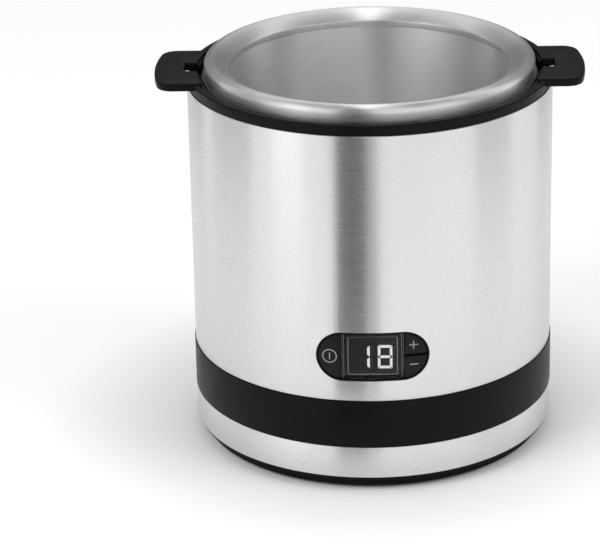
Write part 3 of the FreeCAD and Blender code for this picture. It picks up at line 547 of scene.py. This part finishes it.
tray = turned(rounded([
    (0, 1.2, 0), (44.0, 1.2, 0), (44.6, 1.8, 0), (46.4, 1.8, 0), (47.0, 1.2, 0), (PLINTH_R, 1.2, 0.8),
    (PLINTH_R, Z_LIP, 0.4), (LIP_EDGE_R, Z_LIP, 0.5), (LIP_EDGE_R, Z_TRAY_TOP, 0.3),
    (SPIGOT_R, Z_TRAY_TOP, 0), (SPIGOT_R, 13.1, 0.3), (SPIGOT_IN, 13.1, 0.3), (SPIGOT_IN, Z_TRAY_TOP, 0),
    (73.0, Z_TRAY_TOP, 0), (73.0, 3.6, 0), (0, 3.6, 0),
]))
for step in range(4):
    carve(tray, round_cutter(FOOT_R + 0.1, 0, 2.2, FOOT_AT, 90 * step, 64))
    carve(tray, round_cutter(SCREW_WELL_R, 0, 8, SCREW_AT, 45 + 90 * step, 32))
place_piece(tray, "black_base_tray", "housing", "black_base", black_base, "base_pan")

rubber = make_finish("rubber", (0.016, 0.016, 0.016), 0.78, shine=0.25, grain=(1300, 1300, 1300), relief=0.02)
foot = turned(rounded([
    (0, 0.35, 0), (5.0, 0.35, 0.2), (5.4, 0, 0.2), (7.4, 0, 0.5), (FOOT_R, 1.0, 0.2), (FOOT_R, 2.2, 0),
    (0, 2.2, 0),
]), (FOOT_AT, 0, 0), steps=64)
foot = joined([foot] + [turned_copy(foot, 90 * step) for step in (1, 2, 3)])
place_piece(foot, "rubber_foot_set", "housing", "rubber", rubber, "rubber_feet")

# %% [markdown]
# The collar closes the top of the upper sleeve. It has a visible face above the steel and a ledge
# inside, and two wide notches that the ears drop into, so that the ring can't turn with the bowl. It is
# turned in one piece, and one long block cuts both notches.

# %% Top collar
Z_EAR_TOP = 166.3
EAR_T = 3.5
EAR_HALF = 23.5
NOTCH_ROOM = 0.3
COLLAR_R = 78.6
COLLAR_IN = 76.2
LEDGE_R = 71.6
Z_COLLAR_TOP = 165.6
Z_LEDGE = 159.2
collar = turned(rounded([
    (LEDGE_R, 154.0, 0), (SPIGOT_R, 154.0, 0), (SPIGOT_R, Z_COLLAR, 0), (COLLAR_R, Z_COLLAR, 0.2),
    (COLLAR_R, Z_COLLAR_TOP, 0.6), (COLLAR_IN, Z_COLLAR_TOP, 0.4), (COLLAR_IN, Z_LEDGE, 0),
    (LEDGE_R, Z_LEDGE, 0.4),
]))
notch_low = Z_EAR_TOP - EAR_T - NOTCH_ROOM
notch_half = EAR_HALF + NOTCH_ROOM
carve(collar, block((-100, -notch_half, notch_low), (100, notch_half, 180)))
place_piece(collar, "black_top_collar", "housing", "black_satin", black_satin, "top_collar")

# %% [markdown]
# The ring hangs the freezer bowl in the body, and its two ears are handles. An ear is a plate whose end
# is bowed, with rounded corners: its outline is drawn flat, filled and extruded upwards, and its rims
# are bevelled. The other ear is a copy turned half round. Booleans then join both to the ring and cut
# the slots for the lid.

# %% Handle ring
EAR_BOW = 3.0
EAR_CORNER = 7.0
EAR_TIP = 92.8
EAR_ROOT = 50.0
EAR_SOFT = 0.8
EAR_TRIM_R = 74.8
SLOT_SOFT = 0.3
RING_R = 76.0
RING_IN = 73.6
RING_LIP_R = 69.0
Z_RING_LIP = 161.2
Z_RING_TOP = 165.1
SLOT_HALF = 5.4
SLOT_END = 80.0


def ear_outline():
    """The right-hand ear seen from above: straight sides, rounded corners and a bowed end."""
    bow_r = (EAR_HALF ** 2 + EAR_BOW ** 2) / (2 * EAR_BOW)
    bow = [(EAR_TIP - bow_r + math.sqrt(bow_r ** 2 - y ** 2), y, 0) for y in range(-16, 17, 4)]
    corner_x = EAR_TIP - EAR_BOW
    near = [(EAR_ROOT, -EAR_HALF, 0), (corner_x, -EAR_HALF, EAR_CORNER)]
    far = [(corner_x, EAR_HALF, EAR_CORNER), (EAR_ROOT, EAR_HALF, 0)]
    return rounded(near + bow + far, steps=10)


def make_ear():
    """The right-hand ear, trimmed where it meets the ring."""
    low = Z_EAR_TOP - EAR_T
    ear = draw_outline([Vector((x, y, low)) * MM for x, y in ear_outline()])
    bpy.ops.mesh.remove_doubles(threshold=0.002 * MM)
    bpy.ops.mesh.edge_face_add()
    bpy.ops.mesh.extrude_region_move(TRANSFORM_OT_translate={"value": (0, 0, EAR_T * MM)})
    close_solid()
    for height in (low, Z_EAR_TOP):
        edit(ear, "EDGE", lambda co: abs(co.z - height) < 0.01)
        bpy.ops.mesh.bevel(offset=EAR_SOFT * MM, segments=4)
    carve(ear, turned([(0, 150), (EAR_TRIM_R, 150), (EAR_TRIM_R, 180), (0, 180)]))
    return ear


ring = turned(rounded([
    (RING_LIP_R, Z_LEDGE, 0), (RING_R, Z_LEDGE, 0), (RING_R, Z_RING_TOP, 0.5), (RING_IN, Z_RING_TOP, 0.7),
    (RING_IN, Z_RING_LIP, 0), (RING_LIP_R, Z_RING_LIP, 0.4),
]))
ear = make_ear()
carve(ring, turned_copy(ear, 180), ear, operation="UNION")
carve(ring, block((-SLOT_END, -SLOT_HALF, Z_RING_LIP), (SLOT_END, SLOT_HALF, 180)))
edit(ring, "EDGE", lambda co: abs(abs(co.y) - SLOT_HALF) < 0.01 and abs(co.z - Z_EAR_TOP) < 0.01)
bpy.ops.mesh.bevel(offset=SLOT_SOFT * MM, segments=2)
place_piece(ring, "black_handle_ring", "handle_ring", "black_satin", black_satin, "handle_ring")

# %% [markdown]
# The freezer bowl is pressed from sheet steel: a floor with a round corner, a wall that leans out, a
# small inner lip and a broad rim that rises to a roll. The outline goes up the inside face, over the
# roll and back down the hidden side, so the sheet has its real thickness. Its satin skin is finer than
# the brushing on the body.

# %% Freezer bowl
satin_steel = make_brushed("satin_steel", (0.78, 0.775, 0.77), 0.38, 0.8, 120, 2600, 0.001)
STEEL_T = 0.8
Z_FLOOR = 97.2
LIP_R = 60.8
Z_LIP_TOP = 167.0
Z_LIP_LOW = 164.3
MOUTH_R = 61.3
LOW_R = 52.9
RIM_R = 71.5
ROLL_R = 3.3
ROLL_AT = RIM_R - ROLL_R
Z_ROLL = 168.1
Z_SKIRT = 163.7
ROLL_FROM = math.radians(21)
LIP_DROP = 0.4
LIP_SOFT_LOW = 0.25
LIP_SOFT_TOP = 0.7
FLOOR_CORNER = 6.0


def bowl_face(offset):
    """Points up the bowl's face to the rim's skirt, set back by offset behind the face."""
    floor = Z_FLOOR - offset
    corner = FLOOR_CORNER + offset
    low_r = LOW_R + offset
    knee = [(low_r - corner + corner * math.sin(turn), floor + corner - corner * math.cos(turn))
            for turn in (math.radians(9 * step) for step in range(11))]
    lip = [(MOUTH_R + offset, Z_LIP_LOW + offset), (LIP_R + offset, Z_LIP_LOW + offset)]
    roll = ROLL_R - offset
    turns = [ROLL_FROM - (ROLL_FROM + math.pi / 2) * step / 16 for step in range(17)]
    curl = [(ROLL_AT - roll * math.sin(turn), Z_ROLL + roll * math.cos(turn)) for turn in turns]
    slope = bowed((LIP_R + offset, Z_LIP_TOP - LIP_DROP * offset), curl[0], ROLL_FROM)
    return [(0, floor)] + knee + lip + slope + curl[1:] + [(RIM_R - offset, Z_SKIRT)]


def lip_rounding(radius, height):
    """How much a point of the face is rounded: only the two corners of the inner lip are."""
    if abs(radius - LIP_R) > 0.01:
        return 0
    return LIP_SOFT_LOW if height < Z_LIP_TOP - 1 else LIP_SOFT_TOP


face = [(radius, height, lip_rounding(radius, height)) for radius, height in bowl_face(0.0)]
back = [(radius, height, 0) for radius, height in reversed(bowl_face(STEEL_T))]
liner = turned(rounded(face + back))
place_piece(liner, "steel_freezer_bowl", "bowl", "satin_steel", satin_steel, "bowl_liner", angle=40)

# %% [markdown]
# Lifted out, the bowl shows its plastic jacket, and the body shows the well that it hangs in. Both are
# plain turned tubs, but with the rounded corners and the draft ring at the foot that a moulding needs.

# %% Bowl jacket and well
jacket_plastic = make_finish("jacket_plastic", (0.55, 0.56, 0.57), 0.5, grain=(1500, 1500, 1500),
                             relief=0.008, mottling=0.015, rub=0.03, broad_share=0.3)
JACKET_R = 68.5
JACKET_IN = 66.9
jacket = turned(rounded([
    (16.0, 86.0, 0), (64.0, 86.0, 0.6), (64.5, 86.6, 0.3), (JACKET_R, 86.6, 2.5), (JACKET_R, Z_SKIRT, 0.3),
    (JACKET_IN, Z_SKIRT, 0.3), (JACKET_IN, 88.2, 1.0), (16.0, 88.2, 0),
]))
place_piece(jacket, "plastic_bowl_jacket", "bowl", "jacket_plastic", jacket_plastic, "bowl_jacket")
well_plastic = make_finish("well_plastic", (0.20, 0.205, 0.21), 0.5, grain=(1500, 1500, 1500), relief=0.008)
WELL_R = 71.8
WELL_IN = 70.2
well = turned(rounded([
    (8.5, 77.0, 0), (14.0, 77.0, 0), (14.0, 80.0, 0), (WELL_R, 80.0, 2.5), (WELL_R, 152.0, 0),
    (76.1, 152.0, 0), (76.1, 154.0, 0), (WELL_IN, 154.0, 0.6), (WELL_IN, 82.5, 3.0), (16.5, 82.5, 0.3),
    (15.5, 83.2, 0.3), (14.0, 83.2, 0.3), (13.4, 82.5, 0), (8.5, 82.5, 0),
]))
place_piece(well, "plastic_inner_well", "housing", "grey_plastic", well_plastic, "inner_well")

# %% [markdown]
# The control panel sits in the steel. Its frame is a thin black border with a floor behind it. The
# front edge is bevelled while the plate is flat and in one piece, because the strips that let it follow
# the round wall would add cross edges to the selection. A flange behind the steel is joined on, and a
# smaller plate then cuts the pocket for the keys and the window.

# %% Panel frame
panel_black = make_finish("panel_black", (0.003, 0.003, 0.003), 0.30, shine=0.12, grain=(1600, 1600, 1600),
                          relief=0.002)
BORDER = 0.6
EDGE_BEVEL = 0.2
Y_FLOOR = -72.63
Y_FLOOR_BACK = -71.03
FLAT_FROM = -76.0
POCKET_W = PANEL_W - 2 * BORDER
POCKET_H = PANEL_H - 2 * BORDER
FLANGE = 1.8
FLANGE_OUT = -78.1
FLANGE_IN = -76.1
IN_FRONT = -BODY_R - 5
bezel = round_ended(PANEL_W, PANEL_H, -BODY_R, Y_FLOOR_BACK, strips=False)
edit(bezel, "EDGE", lambda co: abs(co.y + BODY_R) < 0.01)
bpy.ops.mesh.bevel(offset=EDGE_BEVEL * MM, segments=2)
slice_upright(bezel, PANEL_W)
lay_on_body(bezel, flat_from=FLAT_FROM)
flange = round_ended(PANEL_W + 2 * FLANGE, PANEL_H + 2 * FLANGE, FLANGE_OUT, FLANGE_IN)
lay_on_body(flange)
carve(bezel, flange, operation="UNION")
carve(bezel, round_ended(POCKET_W, POCKET_H, IN_FRONT, Y_FLOOR, strips=False))
print("panel frame so far:", len(bezel.data.polygons), "faces")

# %% [markdown]
# Openings for the display and the key stems go through the pocket's floor. Two ribs on the floor carry
# the sides of the window, and four bored posts behind it carry the circuit board. Tools and joined
# pieces reach a little into the floor or past it, because a Boolean goes wrong where two faces lie in
# one plane.

# %% Panel openings, ribs and posts
OVERLAP = 0.2
BEHIND = Y_FLOOR_BACK + 5
MODULE_HALF_W = 11.62
MODULE_HALF_H = 9.02
WINDOW_HALF = 13.2
RIB_FROM = 12.0
RIB_FRONT = -76.05
STEM_R = 2.0
STEM_ROOM = 0.3
KEY_PLACES = {"power": (-18.2, Z_PANEL), "plus": (17.3, Z_PANEL + 5.2), "minus": (17.3, Z_PANEL - 5.2)}
POST_R = 2.2
POST_BORE_R = 1.1
POST_X = 23.0
POST_Z = 6.8
POST_ROOT = Y_FLOOR + OVERLAP
BORE_END = Y_FLOOR_BACK + 0.1
Y_BOARD = -65.03
carve(bezel, block((-MODULE_HALF_W, IN_FRONT, Z_PANEL - MODULE_HALF_H),
                   (MODULE_HALF_W, BEHIND, Z_PANEL + MODULE_HALF_H)))
rib_half_h = POCKET_H / 2 + OVERLAP
for side in (-1, 1):
    left, right = sorted((side * RIB_FROM, side * WINDOW_HALF))
    rib = block((left, RIB_FRONT, Z_PANEL - rib_half_h), (right, Y_FLOOR + OVERLAP, Z_PANEL + rib_half_h))
    carve(bezel, rib, operation="UNION")
for stem_x, stem_z in KEY_PLACES.values():
    carve(bezel, plug(STEM_R + STEM_ROOM, Y_FLOOR - 1, Y_FLOOR_BACK + 1, stem_x, stem_z, steps=32))
post_outline = [(0, POST_ROOT), (POST_R, POST_ROOT), (POST_R, Y_BOARD), (POST_BORE_R, Y_BOARD),
                (POST_BORE_R, BORE_END), (0, BORE_END)]
for x in (-POST_X, POST_X):
    for z in (Z_PANEL - POST_Z, Z_PANEL + POST_Z):
        carve(bezel, turned(post_outline, (x, 0, z), (0, 1, 0), 32), operation="UNION")
place_piece(bezel, "black_panel_frame", "housing", "panel_black", panel_black, "panel_frame")

# %% [markdown]
# The keys fill the two round ends of the panel, one on the left and two on the right with a gap between
# them. All three are cut from one plate with bisect, softened along their front edges and laid on the
# round wall. Their backs stay flat, and a stem joins each to the switch behind it. Each key rides on
# its own body.

# %% Keys
key_black = make_finish("key_black", (0.008, 0.008, 0.0083), 0.40, shine=0.15, grain=(2200, 2200, 2200),
                        relief=0.003)
KEY_GAP = 0.25
KEY_SPLIT = 0.45
KEY_SOFT = 0.35
KEY_INSET = 2 * (BORDER + KEY_GAP)
KEY_FRONT = -78.9
KEY_BACK = -74.23
STEM_END = -69.53
KEY_SIDE = WINDOW_HALF + KEY_GAP
KEY_CUTS = {
    "power": [((-KEY_SIDE, 0, 0), (1, 0, 0))],
    "plus": [((KEY_SIDE, 0, 0), (-1, 0, 0)), ((0, 0, Z_PANEL + KEY_SPLIT), (0, 0, -1))],
    "minus": [((KEY_SIDE, 0, 0), (-1, 0, 0)), ((0, 0, Z_PANEL - KEY_SPLIT), (0, 0, 1))],
}


def make_key(cuts):
    """A key cut from the panel's plate, with a soft front edge, on the round wall."""
    key = round_ended(PANEL_W - KEY_INSET, PANEL_H - KEY_INSET, KEY_FRONT, KEY_BACK, strips=False)
    for point, outward in cuts:
        keep_side(key, point, outward)
    edit(key, "EDGE", lambda co: abs(co.y - KEY_FRONT) < 0.01)
    bpy.ops.mesh.bevel(offset=KEY_SOFT * MM, segments=3)
    slice_upright(key, PANEL_W)
    lay_on_body(key, flat_from=FLAT_FROM)
    return key


for name, (stem_x, stem_z) in KEY_PLACES.items():
    key = make_key(KEY_CUTS[name])
    carve(key, plug(STEM_R, KEY_BACK - OVERLAP, STEM_END, stem_x, stem_z, steps=32), operation="UNION")
    place_piece(key, name + "_key_cap", name + "_key", "key_black", key_black, name + "_button")

# %% [markdown]
# The marks on the keys are printed: a ring with a bar for power, a plus and a minus. Print has no
# thickness to speak of, so each mark is a plate a twentieth of a millimetre proud of its key, laid on
# the same round wall.

# %% Printed marks
print_grey = make_finish("print_grey", (0.30, 0.30, 0.30), 0.55, shine=0.3, grain=(2500, 2500, 2500),
                         relief=0.002)
MARK_FRONT = -78.95
MARK_BACK = -78.7
LINE = 0.45
RING_MARK_R = 3.1
POWER_BAR_H = 3.2
PLUS_AT = (17.2, Z_PANEL + 4.8)
PLUS_LONG = 3.8
MINUS_AT = (17.4, Z_PANEL - 4.1)
MINUS_LONG = 3.6
MARK_STRIPS = 4


def bar_mark(x, z, width, height):
    """A printed bar, cut into strips so that it can follow the round wall."""
    mark = block((x - width / 2, MARK_FRONT, z - height / 2), (x + width / 2, MARK_BACK, z + height / 2))
    edit(mark, "VERT", lambda co: True)
    for step in range(1, MARK_STRIPS):
        bpy.ops.mesh.select_all(action="SELECT")
        cut_x = x - width / 2 + width * step / MARK_STRIPS
        bpy.ops.mesh.bisect(plane_co=(cut_x * MM, 0, 0), plane_no=(1, 0, 0))
    bpy.ops.object.mode_set(mode="OBJECT")
    return mark


power_x, power_z = KEY_PLACES["power"]
ring_in = RING_MARK_R - LINE
ring_mark = turned([
    (ring_in, MARK_FRONT), (RING_MARK_R, MARK_FRONT), (RING_MARK_R, MARK_BACK), (ring_in, MARK_BACK),
], (power_x, 0, power_z), (0, 1, 0), 64)
cross = bar_mark(*PLUS_AT, PLUS_LONG, LINE)
carve(cross, bar_mark(*PLUS_AT, LINE, PLUS_LONG), operation="UNION")
marks = {
    "power": joined([ring_mark, bar_mark(power_x, power_z, LINE, POWER_BAR_H)]),
    "plus": cross,
    "minus": bar_mark(*MINUS_AT, MINUS_LONG, LINE),
}
for name, mark in marks.items():
    lay_on_body(mark)
    place_piece(mark, name + "_key_mark", name + "_key", "lit_white", print_grey)

# %% [markdown]
# The window is a clear curved lens. Its cut edges and the frame of the display behind it catch the
# light as thin bright lines, and here those highlights are painted: slim grey strips along the lens's
# sides, and a narrow grey frame round the dark display. The display itself stays the CAD node, with a
# darker finish.

# %% Window and display
window_clear = make_finish("window_clear", (0.87, 0.87, 0.87), 0.05, shine=0.2, grain=(60, 60, 60),
                           relief=0.0004, mottling=0.01, rub=0.02, Transmission_Weight=1.0, IOR=1.18)
WINDOW_HALF_H = 10.25
LENS_FRONT = -78.85
LENS_BACK = -77.25
LENS_SOFT = 0.3
lens = block((-WINDOW_HALF, LENS_FRONT, Z_PANEL - WINDOW_HALF_H),
             (WINDOW_HALF, LENS_BACK, Z_PANEL + WINDOW_HALF_H))
modify(lens, "BEVEL", width=LENS_SOFT * MM, segments=2, limit_method="ANGLE")
slice_upright(lens, 2 * WINDOW_HALF + 2)
lay_on_body(lens)
place_piece(lens, "clear_display_lens", "housing", "smoked_window", window_clear, "display_window")

# Painted highlights: these grey strips stand in for the light caught by the lens's edges and the display's
# frame.
painted_edge_highlight = make_finish("painted_edge_highlight", (0.25, 0.25, 0.25), 0.35, shine=0.4, grain=(1200, 1200, 1200),
                        relief=0.002)
FRAME_HALF_W = 10.35
FRAME_LOW = Z_PANEL - 8.75
FRAME_HIGH = Z_PANEL + 8.05
Y_MODULE = -75.874
LINE_PROUD = 0.25
LINE_HALF = 0.15
TOP_LINE_HALF = 0.06
SIDE_LINES = (12.15, 12.95)
SIDE_LINE_HALF = 0.09
SIDE_LINE_HALF_H = 9.6
SIDE_LINE_PROUD = 0.06
SIDE_LINE_SUNK = 0.3
lines = []
for side in (-1, 1):
    lines.append(block((side * FRAME_HALF_W - LINE_HALF, Y_MODULE - LINE_PROUD, FRAME_LOW),
                       (side * FRAME_HALF_W + LINE_HALF, Y_MODULE, FRAME_HIGH)))
    for x in SIDE_LINES:
        lines.append(block(
            (side * x - SIDE_LINE_HALF, RIB_FRONT - SIDE_LINE_PROUD, Z_PANEL - SIDE_LINE_HALF_H),
            (side * x + SIDE_LINE_HALF, RIB_FRONT + SIDE_LINE_SUNK, Z_PANEL + SIDE_LINE_HALF_H)))
for height, half in ((FRAME_LOW, LINE_HALF), (FRAME_HIGH, TOP_LINE_HALF)):
    lines.append(block((-FRAME_HALF_W, Y_MODULE - LINE_PROUD, height - half),
                       (FRAME_HALF_W, Y_MODULE, height + half)))
place_piece(joined(lines), "painted_display_highlights", "housing", "display_dark", painted_edge_highlight)

display_dark = make_finish("display_dark", (0.004, 0.004, 0.0045), 0.35, shine=0.2, grain=(900, 900, 900),
                           relief=0.001)
frame["nodes"]["display_module"].data.materials[0] = display_dark

# %% [markdown]
# Each lit digit is made of bars with small gaps between them. The outer bars are mitred like the sides
# of a picture frame: a block's inward face is made shorter. The bar across the middle comes to a point
# at both ends, so its upright edges are bevelled. The eight lights all seven bars, and the one lights
# only the right pair.

# %% Lit digits
glow = make_finish("digit_glow", (0.08, 0.08, 0.08), 0.5, shine=0.1, grain=(400, 400, 400), relief=0.001,
                   Emission_Color=(1.0, 1.0, 1.0, 1.0), Emission_Strength=0.8)
DIGIT_HALF_W = 2.5
DIGIT_STEP_H = 4.65
DIGIT_X = {"1": -4.3, "8": 5.2}
Z_DIGITS = Z_PANEL - 0.9
BAR = 1.1
BAR_GAP = 0.4
MITRE = 0.85 * BAR
POINT = 0.47 * BAR
BAR_PROUD = 0.25


def bar_block(x, z, wide, high):
    """A plain bar on the display, centred on x and z."""
    return block((x - wide / 2, Y_MODULE - BAR_PROUD, z - high / 2), (x + wide / 2, Y_MODULE, z + high / 2))


def mitred_bar(x, z, wide, high, inward):
    """An outer bar of a digit, with the face on its inward side shortened at both ends."""
    bar = bar_block(x, z, wide, high)
    inner = Vector((x, Y_MODULE, z)) + Vector(inward) * BAR / 2
    edit(bar, "FACE", lambda co: abs((co - inner).dot(Vector(inward))) < 0.01)
    shrink = [1 - 2 * MITRE / wide, 1, 1] if wide > high else [1, 1, 1 - 2 * MITRE / high]
    bpy.ops.transform.resize(value=shrink, center_override=inner * MM)
    bpy.ops.object.mode_set(mode="OBJECT")
    return bar


def pointed_bar(x, z, wide):
    """The bar across the middle of a digit, pointed at both ends."""
    bar = bar_block(x, z, wide, BAR)
    edit(bar, "EDGE", lambda co: False)
    bpy.ops.object.mode_set(mode="OBJECT")
    # the edges to bevel are picked by their direction, from front to back
    for edge in bar.data.edges:
        first, second = (bar.data.vertices[corner].co for corner in edge.vertices)
        edge.select = abs(first.y - second.y) > BAR_PROUD / 2 * MM
    bpy.ops.object.mode_set(mode="EDIT")
    bpy.ops.mesh.bevel(offset=POINT * MM, segments=1)
    bpy.ops.object.mode_set(mode="OBJECT")
    return bar


def upright_bars(middle_x, side):
    """The two bars on one side of a digit."""
    outer = DIGIT_STEP_H + BAR / 2
    x = middle_x + side * DIGIT_HALF_W
    inward = (-side, 0, 0)
    return [mitred_bar(x, Z_DIGITS + half * outer / 2, BAR, outer - BAR_GAP, inward) for half in (-1, 1)]


bars = upright_bars(DIGIT_X["1"], 1)
bars += upright_bars(DIGIT_X["8"], 1) + upright_bars(DIGIT_X["8"], -1)
for half in (-1, 1):
    z = Z_DIGITS + half * DIGIT_STEP_H
    bars.append(mitred_bar(DIGIT_X["8"], z, 2 * DIGIT_HALF_W + BAR - 2 * BAR_GAP, BAR, (0, 0, -half)))
bars.append(pointed_bar(DIGIT_X["8"], Z_DIGITS, 2 * DIGIT_HALF_W - BAR_GAP))
place_piece(joined(bars), "lit_timer_digits", "housing", "lit_white", glow, "lit_digits")

# %% [markdown]
# At the back, a rubber gland lines the hole where the mains cord goes in. It is turned about the front-
# to-back axis, with a rounded mouth and two shallow grooves.

# %% Mains inlet
gland = turned(rounded([
    (3.6, 72.7, 0), (8.5, 72.7, 0), (8.5, 75.0, 0.3), (6.0, 75.0, 0), (6.0, 79.0, 0.5), (5.3, 79.0, 0.2),
    (5.0, 78.6, 0.2), (4.6, 79.0, 0.2), (3.6, 79.0, 0.4),
]), (0, 0, Z_INLET), (0, 1, 0), 96)
place_piece(gland, "rubber_cord_gland", "housing", "rubber", rubber, "cord_gland")

# %% [markdown]
# The picture's studio is white all round. The world is white to the camera, to reflections and through
# glass, and dimmer to matt surfaces, where two soft lamps do the rest. So the steel reflects a white room
# while the plastic is lit at a plain level.

# %% World and lamps
WORLD_ON_MATT = 0.62
LAMP_SIZE = 0.8
LAMP_AIM = (0, 0, 0.1)
world = bpy.data.worlds.new("studio")
bpy.context.scene.world = world
world.use_nodes = True
sky = world.node_tree
background = sky.nodes["Background"]
background.inputs["Color"].default_value = (1, 1, 1, 1)


def seen_directly(tree):
    """One for camera rays and for rays through or off glossy surfaces, zero for matt ones."""
    path = tree.nodes.new("ShaderNodeLightPath")
    total = path.outputs["Is Camera Ray"]
    for name in ("Is Glossy Ray", "Is Transmission Ray"):
        either = tree.nodes.new("ShaderNodeMath")
        either.operation = "MAXIMUM"
        tree.links.new(total, either.inputs[0])
        tree.links.new(path.outputs[name], either.inputs[1])
        total = either.outputs["Value"]
    return total


strength = sky.nodes.new("ShaderNodeMapRange")
strength.inputs["To Min"].default_value = WORLD_ON_MATT
strength.inputs["To Max"].default_value = 1.0
sky.links.new(seen_directly(sky), strength.inputs["Value"])
sky.links.new(strength.outputs["Result"], background.inputs["Strength"])


def add_lamp(name, place, power):
    """A square soft lamp that points at the machine and stays out of reflections."""
    bpy.ops.object.light_add(type="AREA", location=place)
    lamp = bpy.context.object
    lamp.name = name
    lamp.data.size = LAMP_SIZE
    lamp.data.energy = power
    lamp.rotation_euler = (Vector(LAMP_AIM) - Vector(place)).to_track_quat("-Z", "Y").to_euler()
    lamp.visible_glossy = False
    print(name, power, "W")


clear_selection()
add_lamp("left_lamp", (-0.9, -0.8, 1.1), 9)
add_lamp("right_lamp", (1.0, -0.5, 0.9), 6)

# %% [markdown]
# Polished metal looks like what it reflects, so the steel is lit with cards that only reflections see.
# A dark strip just left of the camera draws the dark stripe on the wall, with a paler strip beside it
# where the stripe fades. The lower wall reflects the floor, so each strip goes on along the floor and
# narrows towards the machine. A bright card draws the light zone on the left, and greyer ones darken
# the outline. Above, a grey ceiling shades the rim's top and a narrow bright strip puts the highlight
# on it.

# %% Cards
def add_card(name, azimuth, distance, width, low, high, grey):
    """An upright card. Its azimuth is in degrees from the front, towards the right if positive."""
    clear_selection()
    bpy.ops.mesh.primitive_plane_add(size=1)
    card = bpy.context.object
    card.name = name
    turn = math.radians(azimuth)
    card.scale = (width, high - low, 1)
    card.rotation_euler = (math.pi / 2, 0, turn)
    card.location = (distance * math.sin(turn), -distance * math.cos(turn), (low + high) / 2)
    paint = bpy.data.materials.new(name)
    paint.use_nodes = True
    nodes = paint.node_tree.nodes
    nodes.remove(nodes["Principled BSDF"])
    glow_node = nodes.new("ShaderNodeEmission")
    glow_node.inputs["Color"].default_value = (grey, grey, grey, 1)
    paint.node_tree.links.new(glow_node.outputs["Emission"], nodes["Material Output"].inputs["Surface"])
    card.data.materials.append(paint)
    for ray in ("camera", "diffuse", "shadow", "transmission", "volume_scatter"):
        setattr(card, "visible_" + ray, False)
    print(name, "grey", grey)
    return card


FLOOR_NEAR = 0.15
STRIPE_FAR = 0.45
CARD_LIFT = 0.0005
NEAR_SHARE = 0.83 * FLOOR_NEAR / STRIPE_FAR


def add_flat_card(name, azimuth, distance, width, deep, grey, height):
    """A level card at a height."""
    card = add_card(name, azimuth, distance, width, 0, deep, grey)
    card.rotation_euler.x = 0
    card.location.z = height
    return card


def add_stripe(name, azimuth, width, grey):
    """An upright strip that goes on along the floor, where it narrows towards the machine."""
    add_card(name + "_card", azimuth, STRIPE_FAR, width, 0.0, 1.2, grey)
    middle = (FLOOR_NEAR + STRIPE_FAR) / 2
    deep = STRIPE_FAR - FLOOR_NEAR
    low = add_flat_card(name + "_floor_card", azimuth, middle, width, deep, grey, CARD_LIFT)
    for vertex in low.data.vertices:
        if vertex.co.y > 0:
            vertex.co.x *= NEAR_SHARE


add_stripe("stripe", -11.0, 0.145, 0.165)
add_stripe("stripe_fade", 1.2, 0.046, 0.58)
add_card("left_softbox", -50, 1.0, 0.35, 0.0, 1.4, 1.45)
add_card("left_side_card", -92, 1.0, 0.6, 0.0, 1.5, 0.42)
add_card("right_side_card", 78, 1.0, 0.5, 0.0, 1.5, 0.48)
add_card("left_back_card", -142, 1.0, 0.8, 0.0, 1.2, 0.30)
add_card("right_back_card", 142, 1.0, 0.8, 0.0, 1.2, 0.28)
add_card("back_card", 180, 0.9, 1.3, 0.0, 0.60, 0.17)
add_flat_card("ceiling_card", 0, 0.17, 1.2, 0.85, 0.2, 1.0)
add_flat_card("top_strip_card", 0, 0.05, 0.06, 1.2, 4.0, 0.98)

# %% [markdown]
# The floor is a plain pale sheet. It is lit like everything else, so it keeps the machine's soft
# shadow, and a little of its white is given only to what looks at it directly, so that it meets the
# white background. That lift fades out close to the machine, where it would wash the contact shadow
# away.

# %% Floor
FLOOR_LIFT = 0.26
LIFT_FROM = 0.075
LIFT_FULL = 0.15
clear_selection()
bpy.ops.mesh.primitive_plane_add(size=8)
floor = bpy.context.object
floor.name = "floor"
paper = bpy.data.materials.new("floor_paper")
paper.use_nodes = True
paper_tree = paper.node_tree
paper_shader = paper_tree.nodes["Principled BSDF"]
paper_shader.inputs["Base Color"].default_value = (0.86, 0.86, 0.86, 1)
paper_shader.inputs["Roughness"].default_value = 0.9
paper_shader.inputs["Specular IOR Level"].default_value = 0.0
paper_shader.inputs["Emission Color"].default_value = (1, 1, 1, 1)
where = paper_tree.nodes.new("ShaderNodeTexCoord")
distance = paper_tree.nodes.new("ShaderNodeVectorMath")
distance.operation = "LENGTH"
fade = paper_tree.nodes.new("ShaderNodeMapRange")
fade.inputs["From Min"].default_value = LIFT_FROM
fade.inputs["From Max"].default_value = LIFT_FULL
fade.inputs["To Max"].default_value = FLOOR_LIFT
lift = paper_tree.nodes.new("ShaderNodeMath")
lift.operation = "MULTIPLY"
paper_tree.links.new(where.outputs["Object"], distance.inputs[0])
paper_tree.links.new(distance.outputs["Value"], fade.inputs["Value"])
paper_tree.links.new(fade.outputs["Result"], lift.inputs[1])
paper_tree.links.new(seen_directly(paper_tree), lift.inputs[0])
paper_tree.links.new(lift.outputs["Value"], paper_shader.inputs["Emission Strength"])
floor.data.materials.append(paper)
print("floor:", tuple(round(side, 2) for side in floor.dimensions[:2]), "m")

# %% [markdown]
# The camera stands where the photographer's did. Its place, aim and lens were found by matching the
# round edges of the body to their ellipses in the picture: about 1.2 m away, looking 22 degrees down
# through a long lens.

# %% Camera
CAMERA_PLACE = (0, -1.1963, 0.5579)
YAW = math.radians(-1.528)
PITCH = math.radians(22.216)
ROLL = math.radians(-1.251)
LENS = 174.4
bpy.ops.object.camera_add(location=CAMERA_PLACE, rotation=(math.pi / 2 - PITCH, 0, -YAW))
camera = bpy.context.object
camera.rotation_euler.rotate_axis("Z", ROLL)
camera.data.lens = LENS
camera.data.sensor_width = 36
camera.data.clip_end = 20
bpy.context.scene.camera = camera
bpy.context.scene.view_settings.view_transform = "Standard"
print("camera:", LENS, "mm lens")
